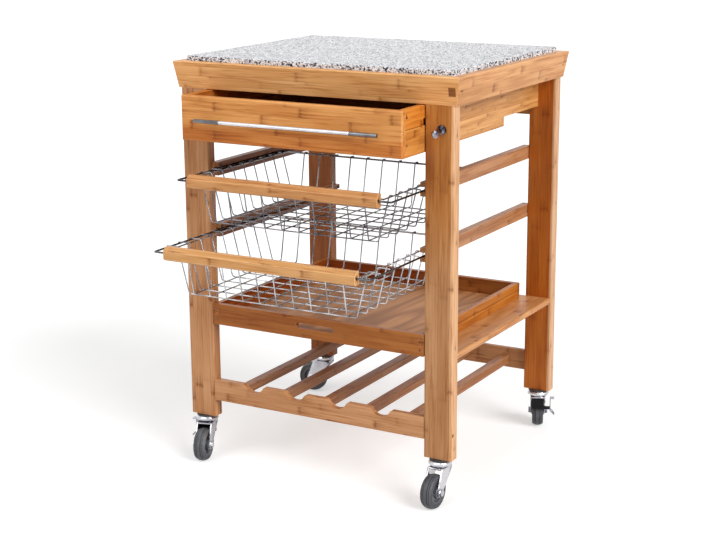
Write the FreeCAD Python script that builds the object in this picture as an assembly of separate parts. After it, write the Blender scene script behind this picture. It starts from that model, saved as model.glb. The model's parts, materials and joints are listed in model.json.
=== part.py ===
import FreeCAD, Part
import math
import os

from FreeCAD import Placement, Rotation, Vector

# Bamboo serving trolley on four casters: inset stone top, one drawer, two pull-out wire
# baskets, a lift-out tray on a shelf and a bottle rack.
# Millimetres, +Z up. The origin is on the floor under the middle of the four legs.
# +X is the trolley's right-hand side and -Y is its front.

# ---- Overall sizes ----
frame_width = 630.0            # over the outer faces of the left and right legs
frame_depth = 526.0            # over the front and back faces of the legs
worktop_height = 874.0         # floor to the stone's upper face

# ---- Legs ----
leg_width = 62.0               # left to right
leg_thickness = 26.0           # front to back
leg_edge_radius = 3.0

# ---- Crown (mitred frame round the stone) ----
crown_height = 55.0
crown_side_overhang = 5.0      # lower edge beyond the legs at left and right
crown_flare = 9.0              # how far the outer faces lean out from bottom to top
crown_land = 20.0              # level strip round the stone
crown_wall = 30.0              # wall thickness at the level of the rebate
crown_rebate_depth = 5.0
crown_flange_width = 66.5      # lower flange that bears on legs and aprons
crown_flange_height = 18.0
crown_edge_bevel = 1.5

# ---- Stone top ----
stone_thickness = 15.0
stone_gap = 0.5                # round its edge, to the crown
stone_corner_radius = 5.0
stone_edge_bevel = 1.2

# ---- Aprons ----
apron_thickness = 20.0
apron_height = 84.0
apron_step_height = 19.5       # the side aprons are this much lower at the front
apron_low_length = 295.0       # length of that lower front part
apron_inset = 0.5              # inner face outside the legs' inner faces
back_apron_inset = 3.0         # outer face inside the legs' back faces

# ---- Drawer ----
drawer_open = 90.0             # drawn out at rest
drawer_height = 91.0
drawer_top_gap = 1.5
drawer_side_gap = 1.5          # to the legs
drawer_length = 440.0
drawer_front_thickness = 12.0
drawer_side_thickness = 14.0
drawer_back_thickness = 12.0
drawer_bottom_thickness = 5.0
drawer_bottom_rise = 8.0       # bottom panel above the lower edge
drawer_edge_bevel = 2.0
drawer_groove_height = 14.0
drawer_groove_drop = 25.0      # drawer's upper edge down to the groove
drawer_groove_setback = 86.0   # front face back to the groove's closed end
drawer_hole_diameter = 7.0
drawer_hole_depth = 6.0
drawer_hole_setback = 5.5      # behind the front board
drawer_hole_inset = 14.5       # below the upper edge, above the lower edge plus 6
runner_reach = 8.0
runner_length = 350.0
runner_clearance = 0.5

# ---- Drawer handle ----
pull_length = 416.0
pull_diameter = 8.0
pull_standoff = 18.0           # drawer face to the bar's centre line
pull_post_spacing = 316.0
pull_post_diameter = 6.5
pull_drop = 47.0               # drawer's upper edge down to the bar

# ---- Basket rails ----
rail_height = 28.5
rail_width = 17.0
rail_end_inset = 13.0          # its ends inside the legs' outer faces
rail_groove_height = 8.6
rail_groove_depth = 12.0
rail_screw_setback = 8.0       # from each end
upper_rail_height = 641.5      # floor to its centre line
lower_rail_height = 511.0

# ---- Wire baskets ----
upper_handle_front = 391.0     # middle of the trolley forward to the handle's front face
lower_handle_front = 476.0
slide_wire_diameter = 4.0
slide_wire_play = 0.3          # under the wire, in its groove
slide_side_play = 1.5          # beside the wire, at the groove's bottom
slide_frame_depth = 392.0      # front wire to back wire
slide_bend_radius = 4.0
rim_wire_diameter = 3.0
rim_rise = 2.0                 # rim's centre above the slide wire's centre
rim_side_inset = 22.0          # slide wire to rim, at the sides
rim_front_inset = 12.0
rim_back_inset = 8.0
mesh_wire_diameter = 2.6
weld_sink = 0.3                # how far a mesh wire is sunk into a wire it crosses
weld_gap = 0.02                # between wires that touch without being one piece
basket_drop = 88.0             # slide wire down to the floor
basket_side_lean = 29.0        # how much the side walls lean in
basket_end_lean = 23.0
basket_crest_bend = 4.0
basket_floor_bend = 6.0
basket_floor_margin = 5.5      # flat end of a wall wire on the floor
long_wire_count = 10
long_wire_inset = 11.6         # outermost one inside the floor grid's side edges
cross_wire_count = 9
cross_wire_inset = 2.3         # outermost one inside the floor grid's front and back edges

# ---- Basket handles ----
grip_length = 436.0
grip_height = 27.0
grip_depth = 17.0
grip_wire_setback = 7.5        # front face back to the wire
grip_top_bevel = 8.0
grip_low_bevel = 3.0
grip_bore_play = 0.1
grip_mouth_diameter = 8.0
grip_mouth_depth = 6.0

# ---- Shelf ----
shelf_top = 316.0
shelf_thickness = 14.0
shelf_inset = 2.0              # side edges inside the legs' outer faces
shelf_nose_radius = 5.0

# ---- Tray ----
tray_side_gap = 1.5            # to the legs
tray_lift = 0.3                # over the shelf
tray_length = 470.0
tray_height = 36.0
tray_lip = 9.0                 # front board hanging below the shelf's upper face
tray_board = 12.0
tray_bottom_thickness = 2.5
tray_finger_count = 3
tray_slot_length = 90.0
tray_slot_height = 11.0
tray_slot_drop = 20.0          # front board's upper edge down to the slot's centre
tray_screw_diameter = 4.0
tray_screw_inset = 8.5         # from the front board's ends

# ---- Bottle rack ----
rack_top = 182.0
rack_rail_height = 46.0
rack_rail_thickness = 14.0
rack_back_thickness = 12.0
rack_notch_count = 4
rack_notch_pitch = 102.0
rack_notch_radius = 26.0
rack_notch_depth = 16.0
rack_lip_radius = 4.0
slat_count = 5
slat_pitch = 101.0
slat_width = 20.0
slat_height = 18.0

# ---- Screws ----
screw_head_diameter = 8.0
screw_hole_diameter = 9.0
screw_hole_depth = 5.0
screw_head_thickness = 3.0
screw_socket_diameter = 4.0
screw_socket_depth = 1.5
leg_screw_height = 150.0
crown_screw_drop = 26.0

# ---- Hook on the front right leg ----
hook_height = 762.3
hook_from_leg_side = 26.2      # leg's outer side face to the hook
hook_base_diameter = 19.0
hook_base_thickness = 2.5
hook_neck_diameter = 8.0
hook_head_diameter = 15.0
hook_length = 33.0
hook_droop = 8.0               # degrees

# ---- Casters ----
wheel_diameter = 71.0
tyre_width = 25.0
tyre_tread_flat = 8.0
tyre_crown = 4.5
wheel_rim_diameter = 56.0
wheel_rim_width = 22.0
wheel_web_width = 12.0
wheel_web_radius = 22.0
wheel_boss_radius = 12.0
caster_trail = 30.0
axle_diameter = 8.0
axle_play = 0.05
fork_side_play = 0.3           # wheel boss to fork cheek
fork_inside_width = 29.0
fork_plate = 2.5
fork_foot_radius = 9.0
fork_front = -18.0             # leading end of the fork's top plate, from the swivel axis
fork_back = 22.0
fork_clearance = 10.0          # tyre up to the upper face of the plate that joins the cheeks
fork_cheek_front_drop = 7.0    # that face down to a cheek's lower corner at its leading edge
caster_head_height = 17.0      # that face up to the underside of the leg
race_neck_diameter = 36.0
race_neck_height = 3.0
race_diameter = 48.0
race_lip = 2.8
top_plate_diameter = 44.0
top_plate_thickness = 3.0
swivel_gap = 0.3
pivot_diameter = 11.0
pivot_head_diameter = 16.0
pivot_head_thickness = 1.2
nut_width = 13.0
nut_height = 5.0
# which way each caster trails, in degrees from +X, anticlockwise from above
front_left_trail = -75.0
front_right_trail = -92.0
back_right_trail = 112.0
back_left_trail = 185.0

# ---- Brake levers ----
brake_plate = 2.0
brake_hinge_place = -11.0      # along the trail, from the swivel axis
brake_hinge_drop = 8.0         # fork's top down to the hinge
brake_pin_diameter = 4.0
brake_block_front = -16.0
brake_tyre_gap = 0.4           # block to tyre while the brake is on
brake_block_height = 23.8
brake_block_drop = 5.2         # fork's top down to the block's top
brake_side_play = 0.3          # block to fork cheek
brake_arm_back = -8.0          # arm that passes under the right cheek's edge
brake_arm_height = 6.0
brake_plate_reach = 27.0       # swivel axis out to the rocker plate
brake_plate_drop = 1.0         # fork's top down to the rocker plate's top
brake_plate_height = 30.0
brake_half_width = 7.0
brake_tab_reach = 37.0
brake_pedal_reach = 38.0
brake_pedal_drop = 11.0        # plate's lower end down to the pedal's
brake_pedal_thickness = 4.0

# ---- Places that follow from the sizes above ----
half_width = frame_width / 2
half_depth = frame_depth / 2
fork_top = wheel_diameter + fork_clearance
caster_height = fork_top + caster_head_height
leg_inner_x = half_width - leg_width
leg_inner_y = half_depth - leg_thickness
leg_center_x = half_width - leg_width / 2
leg_center_y = half_depth - leg_thickness / 2
stone_bottom = worktop_height - stone_thickness
crown_top = stone_bottom + crown_rebate_depth
crown_bottom = crown_top - crown_height
crown_low_x = half_width + crown_side_overhang
crown_low_y = half_depth
apron_inner_x = leg_inner_x + apron_inset
apron_outer_x = apron_inner_x + apron_thickness
apron_bottom = crown_bottom - apron_height
drawer_half_width = leg_inner_x - drawer_side_gap
drawer_top = crown_bottom - drawer_top_gap
drawer_bottom = drawer_top - drawer_height
drawer_front = -half_depth - drawer_open
drawer_rear = drawer_front + drawer_length
drawer_inner_x = drawer_half_width - drawer_side_thickness
drawer_box_front = drawer_front + drawer_front_thickness
drawer_box_rear = drawer_rear - drawer_back_thickness
drawer_groove_top = drawer_top - drawer_groove_drop
drawer_groove_bottom = drawer_groove_top - drawer_groove_height
drawer_groove_depth = runner_reach - (apron_inner_x - drawer_half_width) + runner_clearance
rail_inner_x = leg_inner_x - rail_width
rail_length = frame_depth - 2 * rail_end_inset
slide_x = rail_inner_x + rail_groove_depth - slide_side_play - slide_wire_diameter / 2
rim_x = slide_x - rim_side_inset
tray_half_width = leg_inner_x - tray_side_gap
tray_base = shelf_top + tray_lift
tray_top = tray_base + tray_height
tray_front = -half_depth
tray_rear = tray_front + tray_length
rack_bottom = rack_top - rack_rail_height
notch_bottom = rack_top - rack_notch_depth
axle_height = wheel_diameter / 2
race_top = caster_height - top_plate_thickness - swivel_gap
fork_underside = fork_top - fork_plate
pivot_radius = pivot_diameter / 2
cheek_inner = fork_inside_width / 2
cheek_outer = cheek_inner + fork_plate
boss_half_width = cheek_inner - fork_side_play
brake_hinge_height = fork_top - brake_hinge_drop
brake_block_top = fork_top - brake_block_drop
brake_block_bottom = brake_block_top - brake_block_height
brake_arm_top = brake_block_bottom + brake_arm_height
brake_plate_top = fork_top - brake_plate_drop
brake_plate_bottom = brake_plate_top - brake_plate_height
# The tyre's nearest point along the trail, level with the block's lower edge.
tyre_reach = math.sqrt(axle_height ** 2 - (brake_block_bottom - axle_height) ** 2)
brake_block_back = round(caster_trail - tyre_reach - brake_tyre_gap, 1)

caster_places = {
    "front_left": (-leg_center_x, -leg_center_y, front_left_trail, True),
    "front_right": (leg_center_x, -leg_center_y, front_right_trail, False),
    "back_right": (leg_center_x, leg_center_y, back_right_trail, True),
    "back_left": (-leg_center_x, leg_center_y, back_left_trail, False),
}


def box(x0, x1, y0, y1, z0, z1):
    return Part.makeBox(x1 - x0, y1 - y0, z1 - z0, Vector(x0, y0, z0))


def rod(start, end, radius):
    direction = end.sub(start)
    return Part.makeCylinder(radius, direction.Length, start, direction)


def face_from_points(points):
    return Part.Face(Part.makePolygon(points + [points[0]]))


def edges_along(shape, axis):
    found = []
    for edge in shape.Edges:
        if len(edge.Vertexes) == 2:
            span = edge.Vertexes[1].Point.sub(edge.Vertexes[0].Point)
            if abs(abs(span.dot(axis)) - span.Length) < 1e-6:
                found.append(edge)
    return found


def with_round_edges(shape, axis, radius):
    return shape.makeFillet(radius, edges_along(shape, axis))


def mirror_x(shape):
    return shape.mirror(Vector(0, 0, 0), Vector(1, 0, 0))


def rounded_path(points, radii):
    # Straight runs joined by tangent arcs at the inner points.
    edges = []
    last = points[0]
    for i in range(1, len(points) - 1):
        back = points[i - 1].sub(points[i]).normalize()
        ahead = points[i + 1].sub(points[i]).normalize()
        half_angle = back.getAngle(ahead) / 2
        reach = radii[i - 1] / math.tan(half_angle)
        start = points[i].add(Vector(back).multiply(reach))
        end = points[i].add(Vector(ahead).multiply(reach))
        bisector = back.add(ahead).normalize()
        to_center = radii[i - 1] / math.sin(half_angle)
        middle = points[i].add(bisector.multiply(to_center - radii[i - 1]))
        edges.append(Part.makeLine(last, start))
        edges.append(Part.Arc(start, middle, end).toShape())
        last = end
    edges.append(Part.makeLine(last, points[-1]))
    return Part.Wire(edges)


def bent_wire(points, radii, wire_radius):
    path = rounded_path(points, radii)
    direction = points[1].sub(points[0])
    circle = Part.Wire([Part.makeCircle(wire_radius, points[0], direction)])
    return path.makePipeShell([circle], True, False)


def save(name, *solids):
    shape = solids[0] if len(solids) == 1 else Part.makeCompound(list(solids))
    if not shape.isValid():
        print("not valid:", name)
    print(name, len(shape.Solids), round(shape.Volume))
    shape.exportStep("parts/" + name + ".step")


# ---- Frame ----

def screw_hole(place, direction):
    inward = Vector(direction).multiply(-1)
    return Part.makeCylinder(screw_hole_diameter / 2, screw_hole_depth, place, inward)


def screw_head(place, direction):
    # A socket-head screw seated at the bottom of its hole.
    inward = Vector(direction).multiply(-1)
    seat = place.add(Vector(inward).multiply(screw_hole_depth))
    head = Part.makeCylinder(screw_head_diameter / 2, screw_head_thickness, seat, direction)
    outer = seat.add(Vector(direction).multiply(screw_head_thickness))
    socket = Part.makeCylinder(screw_socket_diameter / 2, screw_socket_depth, outer, inward)
    return head.cut(socket)


def leg_screw_place(side, end):
    rail_middle = half_depth - (rack_rail_thickness if end < 0 else rack_back_thickness) / 2
    return Vector(side * half_width, end * rail_middle, leg_screw_height)


def rail_screw_place(side, end, height):
    return Vector(side * rail_inner_x, end * (rail_length / 2 - rail_screw_setback),
                  height + rail_height / 4)


def crown_face_x(height):
    return crown_low_x + crown_flare * (height - crown_bottom) / crown_height


def crown_screw_place(side, end):
    height = crown_top - crown_screw_drop
    return Vector(side * crown_face_x(height), end * leg_center_y, height)


def screw_places():
    places = []
    for side in (-1, 1):
        outward = Vector(side, 0, 0)
        inward = Vector(-side, 0, 0)
        for end in (-1, 1):
            places.append((leg_screw_place(side, end), outward))
            places.append((crown_screw_place(side, end), outward))
            for height in (upper_rail_height, lower_rail_height):
                places.append((rail_screw_place(side, end, height), inward))
    return places


def make_screws():
    save("frame_screws", *[screw_head(place, way) for place, way in screw_places()])


def make_legs():
    for end_name, end in (("front", -1), ("back", 1)):
        for side_name, side in (("left", -1), ("right", 1)):
            x, y = side * leg_center_x, end * leg_center_y
            leg = box(x - leg_width / 2, x + leg_width / 2,
                      y - leg_thickness / 2, y + leg_thickness / 2,
                      caster_height, crown_bottom)
            leg = with_round_edges(leg, Vector(0, 0, 1), leg_edge_radius)
            leg = leg.cut(screw_hole(leg_screw_place(side, end), Vector(side, 0, 0)))
            save("leg_" + end_name + "_" + side_name, leg)


def crown_section():
    # Pairs of distance outside the lower outer edge, and height.
    land_inner = crown_flare - crown_land
    return [
        (0.0, crown_bottom),
        (crown_flare - crown_edge_bevel * 0.2, crown_top - crown_edge_bevel),
        (crown_flare - crown_edge_bevel, crown_top),
        (land_inner, crown_top),
        (land_inner, stone_bottom),
        (-crown_wall, stone_bottom),
        (-crown_wall, crown_bottom + crown_flange_height),
        (-crown_flange_width, crown_bottom + crown_flange_height),
        (-crown_flange_width, crown_bottom),
    ]


def make_crown_rail(along_x, sign):
    # The section is drawn at both mitred ends and ruled between them.
    ends = []
    for way in (-1, 1):
        points = []
        for out, height in crown_section():
            x, y = crown_low_x + out, crown_low_y + out
            if along_x:
                points.append(Vector(way * x, sign * y, height))
            else:
                points.append(Vector(sign * x, way * y, height))
        ends.append(Part.makePolygon(points + [points[0]]))
    return Part.makeLoft(ends, True, True)


def make_crown():
    save("crown_front", make_crown_rail(True, -1))
    save("crown_back", make_crown_rail(True, 1))
    for name, side in (("crown_left", -1), ("crown_right", 1)):
        rail = make_crown_rail(False, side)
        for end in (-1, 1):
            rail = rail.cut(screw_hole(crown_screw_place(side, end), Vector(side, 0, 0)))
        save(name, rail)


def make_stone():
    inset = crown_land - crown_flare + stone_gap
    half_x, half_y = crown_low_x - inset, crown_low_y - inset
    stone = box(-half_x, half_x, -half_y, half_y, stone_bottom, worktop_height)
    stone = with_round_edges(stone, Vector(0, 0, 1), stone_corner_radius)
    rim = [e for e in stone.Edges if all(v.Point.z > worktop_height - 0.01 for v in e.Vertexes)]
    save("granite_top", stone.makeChamfer(stone_edge_bevel, rim))


def make_aprons():
    low_end = -leg_inner_y + apron_low_length
    step_z = apron_bottom + apron_step_height
    outline = [(-leg_inner_y, apron_bottom), (low_end, apron_bottom), (low_end, step_z),
               (leg_inner_y, step_z), (leg_inner_y, crown_bottom), (-leg_inner_y, crown_bottom)]
    face = face_from_points([Vector(apron_inner_x, y, z) for y, z in outline])
    right = face.extrude(Vector(apron_thickness, 0, 0))
    save("apron_right", right)
    save("apron_left", mirror_x(right))
    outer_y = half_depth - back_apron_inset
    save("apron_back", box(-leg_inner_x, leg_inner_x, outer_y - apron_thickness, outer_y,
                           apron_bottom, crown_bottom))


def make_runners():
    front = -half_depth + drawer_groove_setback + 4 * runner_clearance
    right = box(apron_inner_x - runner_reach, apron_inner_x, front, front + runner_length,
                drawer_groove_bottom + runner_clearance, drawer_groove_top - runner_clearance)
    save("drawer_runners", right, mirror_x(right))


def make_basket_rail(side, height):
    half_length = rail_length / 2
    rail = box(rail_inner_x, leg_inner_x, -half_length, half_length,
               height - rail_height / 2, height + rail_height / 2)
    groove = box(rail_inner_x - 1, rail_inner_x + rail_groove_depth,
                 -half_length - 1, half_length + 1,
                 height - rail_groove_height / 2, height + rail_groove_height / 2)
    rail = rail.cut(groove)
    for end in (-1, 1):
        rail = rail.cut(screw_hole(rail_screw_place(1, end, height), Vector(-1, 0, 0)))
    return rail if side > 0 else mirror_x(rail)


def make_basket_rails():
    for level, height in (("upper", upper_rail_height), ("lower", lower_rail_height)):
        save("rail_" + level + "_left", make_basket_rail(-1, height))
        save("rail_" + level + "_right", make_basket_rail(1, height))


def make_shelf():
    half_x = half_width - shelf_inset
    shelf = box(-half_x, half_x, -leg_inner_y, leg_inner_y, shelf_top - shelf_thickness, shelf_top)
    noses = [e for e in edges_along(shelf, Vector(0, 1, 0))]
    save("shelf", shelf.makeFillet(shelf_nose_radius, noses))


def make_rack():
    front = box(-leg_inner_x, leg_inner_x, -half_depth, -half_depth + rack_rail_thickness,
                rack_bottom, rack_top)
    lips = []
    for i in range(rack_notch_count):
        x = (i - (rack_notch_count - 1) / 2) * rack_notch_pitch
        center = Vector(x, -half_depth - 1, notch_bottom + rack_notch_radius)
        front = front.cut(Part.makeCylinder(rack_notch_radius, rack_rail_thickness + 2,
                                            center, Vector(0, 1, 0)))
    for edge in edges_along(front, Vector(0, 1, 0)):
        point = edge.Vertexes[0].Point
        if abs(point.z - rack_top) < 0.01 and abs(point.x) < leg_inner_x - 1:
            lips.append(edge)
    front = front.makeFillet(rack_lip_radius, lips)
    save("rack_front_rail", front)
    save("rack_back_rail", box(-leg_inner_x, leg_inner_x, half_depth - rack_back_thickness,
                               half_depth, rack_bottom, rack_top))
    slats = []
    for i in range(slat_count):
        x = (i - (slat_count - 1) / 2) * slat_pitch
        slats.append(box(x - slat_width / 2, x + slat_width / 2,
                         -half_depth + rack_rail_thickness, half_depth - rack_back_thickness,
                         notch_bottom - slat_height, notch_bottom))
    save("rack_slats", *slats)


def make_hook():
    base_point = Vector(half_width - hook_from_leg_side, -half_depth, hook_height)
    profile = [
        (0, 0), (hook_base_diameter / 2, 0), (hook_base_diameter / 2, hook_base_thickness),
        (hook_neck_diameter / 2, hook_base_thickness * 3), (hook_neck_diameter / 2, hook_length * 0.6),
        (hook_head_diameter / 2, hook_length * 0.84), (hook_head_diameter / 2, hook_length * 0.94),
        (hook_head_diameter / 4, hook_length), (0, hook_length),
    ]
    stem = face_from_points([Vector(r, -a, 0) for r, a in profile])
    stem = stem.revolve(Vector(0, 0, 0), Vector(0, 1, 0), 360)
    stem.Placement = Placement(base_point, Rotation(Vector(1, 0, 0), hook_droop))
    flange = Part.makeCylinder(hook_base_diameter / 2, hook_base_thickness * 1.6,
                               base_point, Vector(0, -1, 0))
    hook = stem.fuse(flange)
    behind = box(base_point.x - 30, base_point.x + 30, -half_depth, -half_depth + 20,
                 hook_height - 30, hook_height + 30)
    save("hook", hook.cut(behind))


# ---- Drawer ----

def make_drawer():
    front = box(-drawer_half_width, drawer_half_width, drawer_front, drawer_box_front,
                drawer_bottom, drawer_top)
    rim = [e for e in front.Edges if all(v.Point.y < drawer_front + 0.01 for v in e.Vertexes)]
    save("drawer_front", front.makeChamfer(drawer_edge_bevel, rim))

    side = box(drawer_inner_x, drawer_half_width, drawer_box_front, drawer_rear,
               drawer_bottom, drawer_top)
    groove_start = drawer_front + drawer_groove_setback
    side = side.cut(box(drawer_half_width - drawer_groove_depth, drawer_half_width + 1,
                        groove_start, drawer_rear + 1,
                        drawer_groove_bottom, drawer_groove_top))
    hole_y = drawer_box_front + drawer_hole_setback
    for hole_z in (drawer_top - drawer_hole_inset, drawer_bottom + drawer_hole_inset + 6):
        side = side.cut(Part.makeCylinder(drawer_hole_diameter / 2, drawer_hole_depth,
                                          Vector(drawer_half_width, hole_y, hole_z),
                                          Vector(-1, 0, 0)))
    save("drawer_side_right", side)
    save("drawer_side_left", mirror_x(side))

    save("drawer_back", box(-drawer_inner_x, drawer_inner_x, drawer_box_rear, drawer_rear,
                            drawer_bottom, drawer_top))
    floor_z = drawer_bottom + drawer_bottom_rise
    save("drawer_bottom", box(-drawer_inner_x, drawer_inner_x, drawer_box_front, drawer_box_rear,
                              floor_z, floor_z + drawer_bottom_thickness))


def make_pull():
    y = drawer_front - pull_standoff
    z = drawer_top - pull_drop
    handle = rod(Vector(-pull_length / 2, y, z), Vector(pull_length / 2, y, z), pull_diameter / 2)
    handle = handle.makeChamfer(0.8, [e for e in handle.Edges if len(e.Vertexes) == 1])
    for side in (-1, 1):
        x = side * pull_post_spacing / 2
        handle = handle.fuse(rod(Vector(x, y, z), Vector(x, drawer_front, z),
                                 pull_post_diameter / 2))
    save("drawer_handle", handle)


# ---- Wire baskets ----

def slide_frame(wire_z, front_y, back_y):
    corners = [(0, front_y), (slide_x, front_y), (slide_x, back_y), (-slide_x, back_y),
               (-slide_x, front_y), (0, front_y)]
    points = [Vector(x, y, wire_z) for x, y in corners]
    return bent_wire(points, [slide_bend_radius] * 4, slide_wire_diameter / 2)


def crest_setback():
    # From the rim's centre line to where a mesh wire would turn down if it had no bend.
    return rim_wire_diameter / 2 + basket_crest_bend * 0.8


def evenly_spread(count, first, last):
    return [first + i * (last - first) / (count - 1) for i in range(count)]


def make_basket(name, rail_z, handle_front):
    mesh_radius = mesh_wire_diameter / 2
    rim_radius = rim_wire_diameter / 2
    slide_radius = slide_wire_diameter / 2
    wire_z = rail_z - rail_groove_height / 2 + slide_wire_play + slide_radius
    front_y = -handle_front + grip_wire_setback
    back_y = front_y + slide_frame_depth
    rim_z = wire_z + rim_rise
    rim_front, rim_back = front_y + rim_front_inset, back_y - rim_back_inset
    floor_front, floor_back = rim_front + basket_end_lean, rim_back - basket_end_lean
    floor_x = rim_x - basket_side_lean
    flat_x = floor_x - basket_floor_margin
    flat_front = floor_front + basket_floor_margin
    flat_back = floor_back - basket_floor_margin
    floor_z = wire_z - basket_drop
    cross_z = floor_z - mesh_radius + weld_sink / 2
    long_z = floor_z + mesh_radius - weld_sink / 2
    crest_z = rim_z + rim_radius + mesh_radius - weld_sink
    stub_z = wire_z + slide_radius + mesh_radius + weld_gap
    cross_places = evenly_spread(cross_wire_count, flat_front + cross_wire_inset,
                                 flat_back - cross_wire_inset)
    long_places = evenly_spread(long_wire_count, long_wire_inset - flat_x,
                                flat_x - long_wire_inset)
    bends = [basket_crest_bend, basket_floor_bend]

    save(name + "_slide_frame", slide_frame(wire_z, front_y, back_y))

    # Side walls: a rim bar with the mesh wires that hook over it from the slide wire.
    side_bar = rod(Vector(rim_x, rim_front - rim_radius, rim_z),
                   Vector(rim_x, rim_back + rim_radius, rim_z), rim_radius)
    wires = []
    for y in cross_places:
        points = [Vector(slide_x, y, stub_z),
                  Vector(rim_x - crest_setback(), y, crest_z),
                  Vector(floor_x, y, cross_z),
                  Vector(flat_x, y, cross_z)]
        wires.append(bent_wire(points, bends, mesh_radius))
    right_wall = side_bar.fuse(wires)
    save(name + "_side_walls", right_wall, mirror_x(right_wall))

    # Front wall wires start on the rim, behind the handle. Back wall wires reach the slide wire.
    bar_half = rim_x - rim_radius - weld_gap
    walls = []
    for rim_y, start_y, start_z, floor_y, way in (
            (rim_front, rim_front - rim_radius, crest_z, floor_front, 1),
            (rim_back, back_y, stub_z, floor_back, -1)):
        bar = rod(Vector(-bar_half, rim_y, rim_z), Vector(bar_half, rim_y, rim_z), rim_radius)
        wires = []
        for x in long_places:
            points = [Vector(x, start_y, start_z),
                      Vector(x, rim_y + way * crest_setback(), crest_z),
                      Vector(x, floor_y, long_z),
                      Vector(x, floor_y + way * basket_floor_margin, long_z)]
            wires.append(bent_wire(points, bends, mesh_radius))
        walls.append(bar.fuse(wires))
    save(name + "_end_walls", *walls)

    bars = [rod(Vector(-flat_x, y, cross_z), Vector(flat_x, y, cross_z), mesh_radius)
            for y in cross_places]
    bars += [rod(Vector(x, flat_front, long_z), Vector(x, flat_back, long_z), mesh_radius)
             for x in long_places]
    save(name + "_floor", bars[0].fuse(bars[1:]))

    save(name + "_handle", make_grip(wire_z, handle_front))


def make_grip(wire_z, handle_front):
    front, back = -handle_front, -handle_front + grip_depth
    low, top = wire_z - grip_height / 2, wire_z + grip_height / 2
    outline = [(front, low + grip_low_bevel), (front + grip_low_bevel, low), (back, low),
               (back, top), (front + grip_top_bevel, top), (front, top - grip_top_bevel)]
    half = grip_length / 2
    grip = face_from_points([Vector(-half, y, z) for y, z in outline])
    grip = grip.extrude(Vector(grip_length, 0, 0))
    wire_y = front + grip_wire_setback
    bore = slide_wire_diameter / 2 + grip_bore_play
    grip = grip.cut(rod(Vector(-half - 1, wire_y, wire_z), Vector(half + 1, wire_y, wire_z), bore))
    for side in (-1, 1):
        mouth = rod(Vector(side * (half + 1), wire_y, wire_z),
                    Vector(side * (half - grip_mouth_depth), wire_y, wire_z),
                    grip_mouth_diameter / 2)
        grip = grip.cut(mouth)
    return grip


# ---- Tray ----

def tray_fingers(for_side_boards):
    # Blocks at the four corners that belong to the side boards' fingers.
    blocks = []
    step = tray_height / tray_finger_count
    for i in range(tray_finger_count):
        if (i % 2 == 1) == for_side_boards:
            for side in (-1, 1):
                for y in (tray_front, tray_rear - tray_board):
                    x0, x1 = sorted((side * tray_half_width, side * (tray_half_width - tray_board)))
                    blocks.append(box(x0, x1, y, y + tray_board,
                                      tray_base + i * step, tray_base + (i + 1) * step))
    return blocks


def slot_cutter():
    z = tray_top - tray_slot_drop
    radius = tray_slot_height / 2
    reach = tray_slot_length / 2 - radius
    y = tray_front - 1
    through = Vector(0, tray_board + 2, 0)
    cutter = box(-reach, reach, y, y + tray_board + 2, z - radius, z + radius)
    for side in (-1, 1):
        cutter = cutter.fuse(Part.makeCylinder(radius, through.Length,
                                               Vector(side * reach, y, z), through))
    return cutter


def make_tray():
    side_fingers = tray_fingers(True)
    front = box(-tray_half_width, tray_half_width, tray_front, tray_front + tray_board,
                shelf_top - tray_lip, tray_top)
    front = front.cut(side_fingers).cut(slot_cutter())
    for side in (-1, 1):
        for drop in (tray_height / 4, tray_height - tray_lip / 3):
            head = Part.makeCylinder(tray_screw_diameter / 2, 2,
                                     Vector(side * (tray_half_width - tray_screw_inset),
                                            tray_front, tray_top - drop), Vector(0, 1, 0))
            front = front.cut(head)
    save("tray_front", front)
    back = box(-tray_half_width, tray_half_width, tray_rear - tray_board, tray_rear,
               tray_base, tray_top)
    save("tray_back", back.cut(side_fingers))
    right = box(tray_half_width - tray_board, tray_half_width, tray_front, tray_rear,
                tray_base, tray_top)
    right = right.cut(tray_fingers(False))
    save("tray_side_right", right)
    save("tray_side_left", mirror_x(right))
    inner_x = tray_half_width - tray_board
    save("tray_bottom", box(-inner_x, inner_x, tray_front + tray_board, tray_rear - tray_board,
                            tray_base, tray_base + tray_bottom_thickness))


# ---- Casters ----
# Each is drawn with its swivel axis on the Z axis and its wheel trailing towards +X.

def placed(shape, x, y, trail):
    moved = shape.copy()
    turn = Placement(Vector(x, y, 0), Rotation(Vector(0, 0, 1), trail))
    moved.Placement = turn.multiply(shape.Placement)
    return moved


def about_axle(profile):
    # A ring from (radius, distance along the axle) pairs.
    face = face_from_points([Vector(r, a, 0) for r, a in profile])
    ring = face.revolve(Vector(0, 0, 0), Vector(0, 1, 0), 360)
    ring.translate(Vector(caster_trail, 0, axle_height))
    return ring


def caster_mount():
    plate = Part.makeCylinder(top_plate_diameter / 2, top_plate_thickness,
                              Vector(0, 0, caster_height - top_plate_thickness))
    pin_bottom = fork_underside - swivel_gap - pivot_head_thickness
    pin = Part.makeCylinder(pivot_radius, caster_height - pin_bottom, Vector(0, 0, pin_bottom))
    head = Part.makeCylinder(pivot_head_diameter / 2, pivot_head_thickness,
                             Vector(0, 0, pin_bottom))
    return plate.fuse([pin, head])


def fork_race():
    outer, neck, bore = race_diameter / 2, race_neck_diameter / 2, pivot_radius + axle_play
    race_bottom = fork_top + race_neck_height
    profile = [(bore, fork_top), (neck, fork_top), (neck, race_bottom),
               (outer - race_lip, race_bottom), (outer, race_bottom + race_lip),
               (outer, race_top - race_lip * 1.6), (outer - race_lip * 1.2, race_top),
               (bore, race_top)]
    face = face_from_points([Vector(r, 0, z) for r, z in profile])
    return face.revolve(Vector(0, 0, 0), Vector(0, 0, 1), 360)


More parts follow.
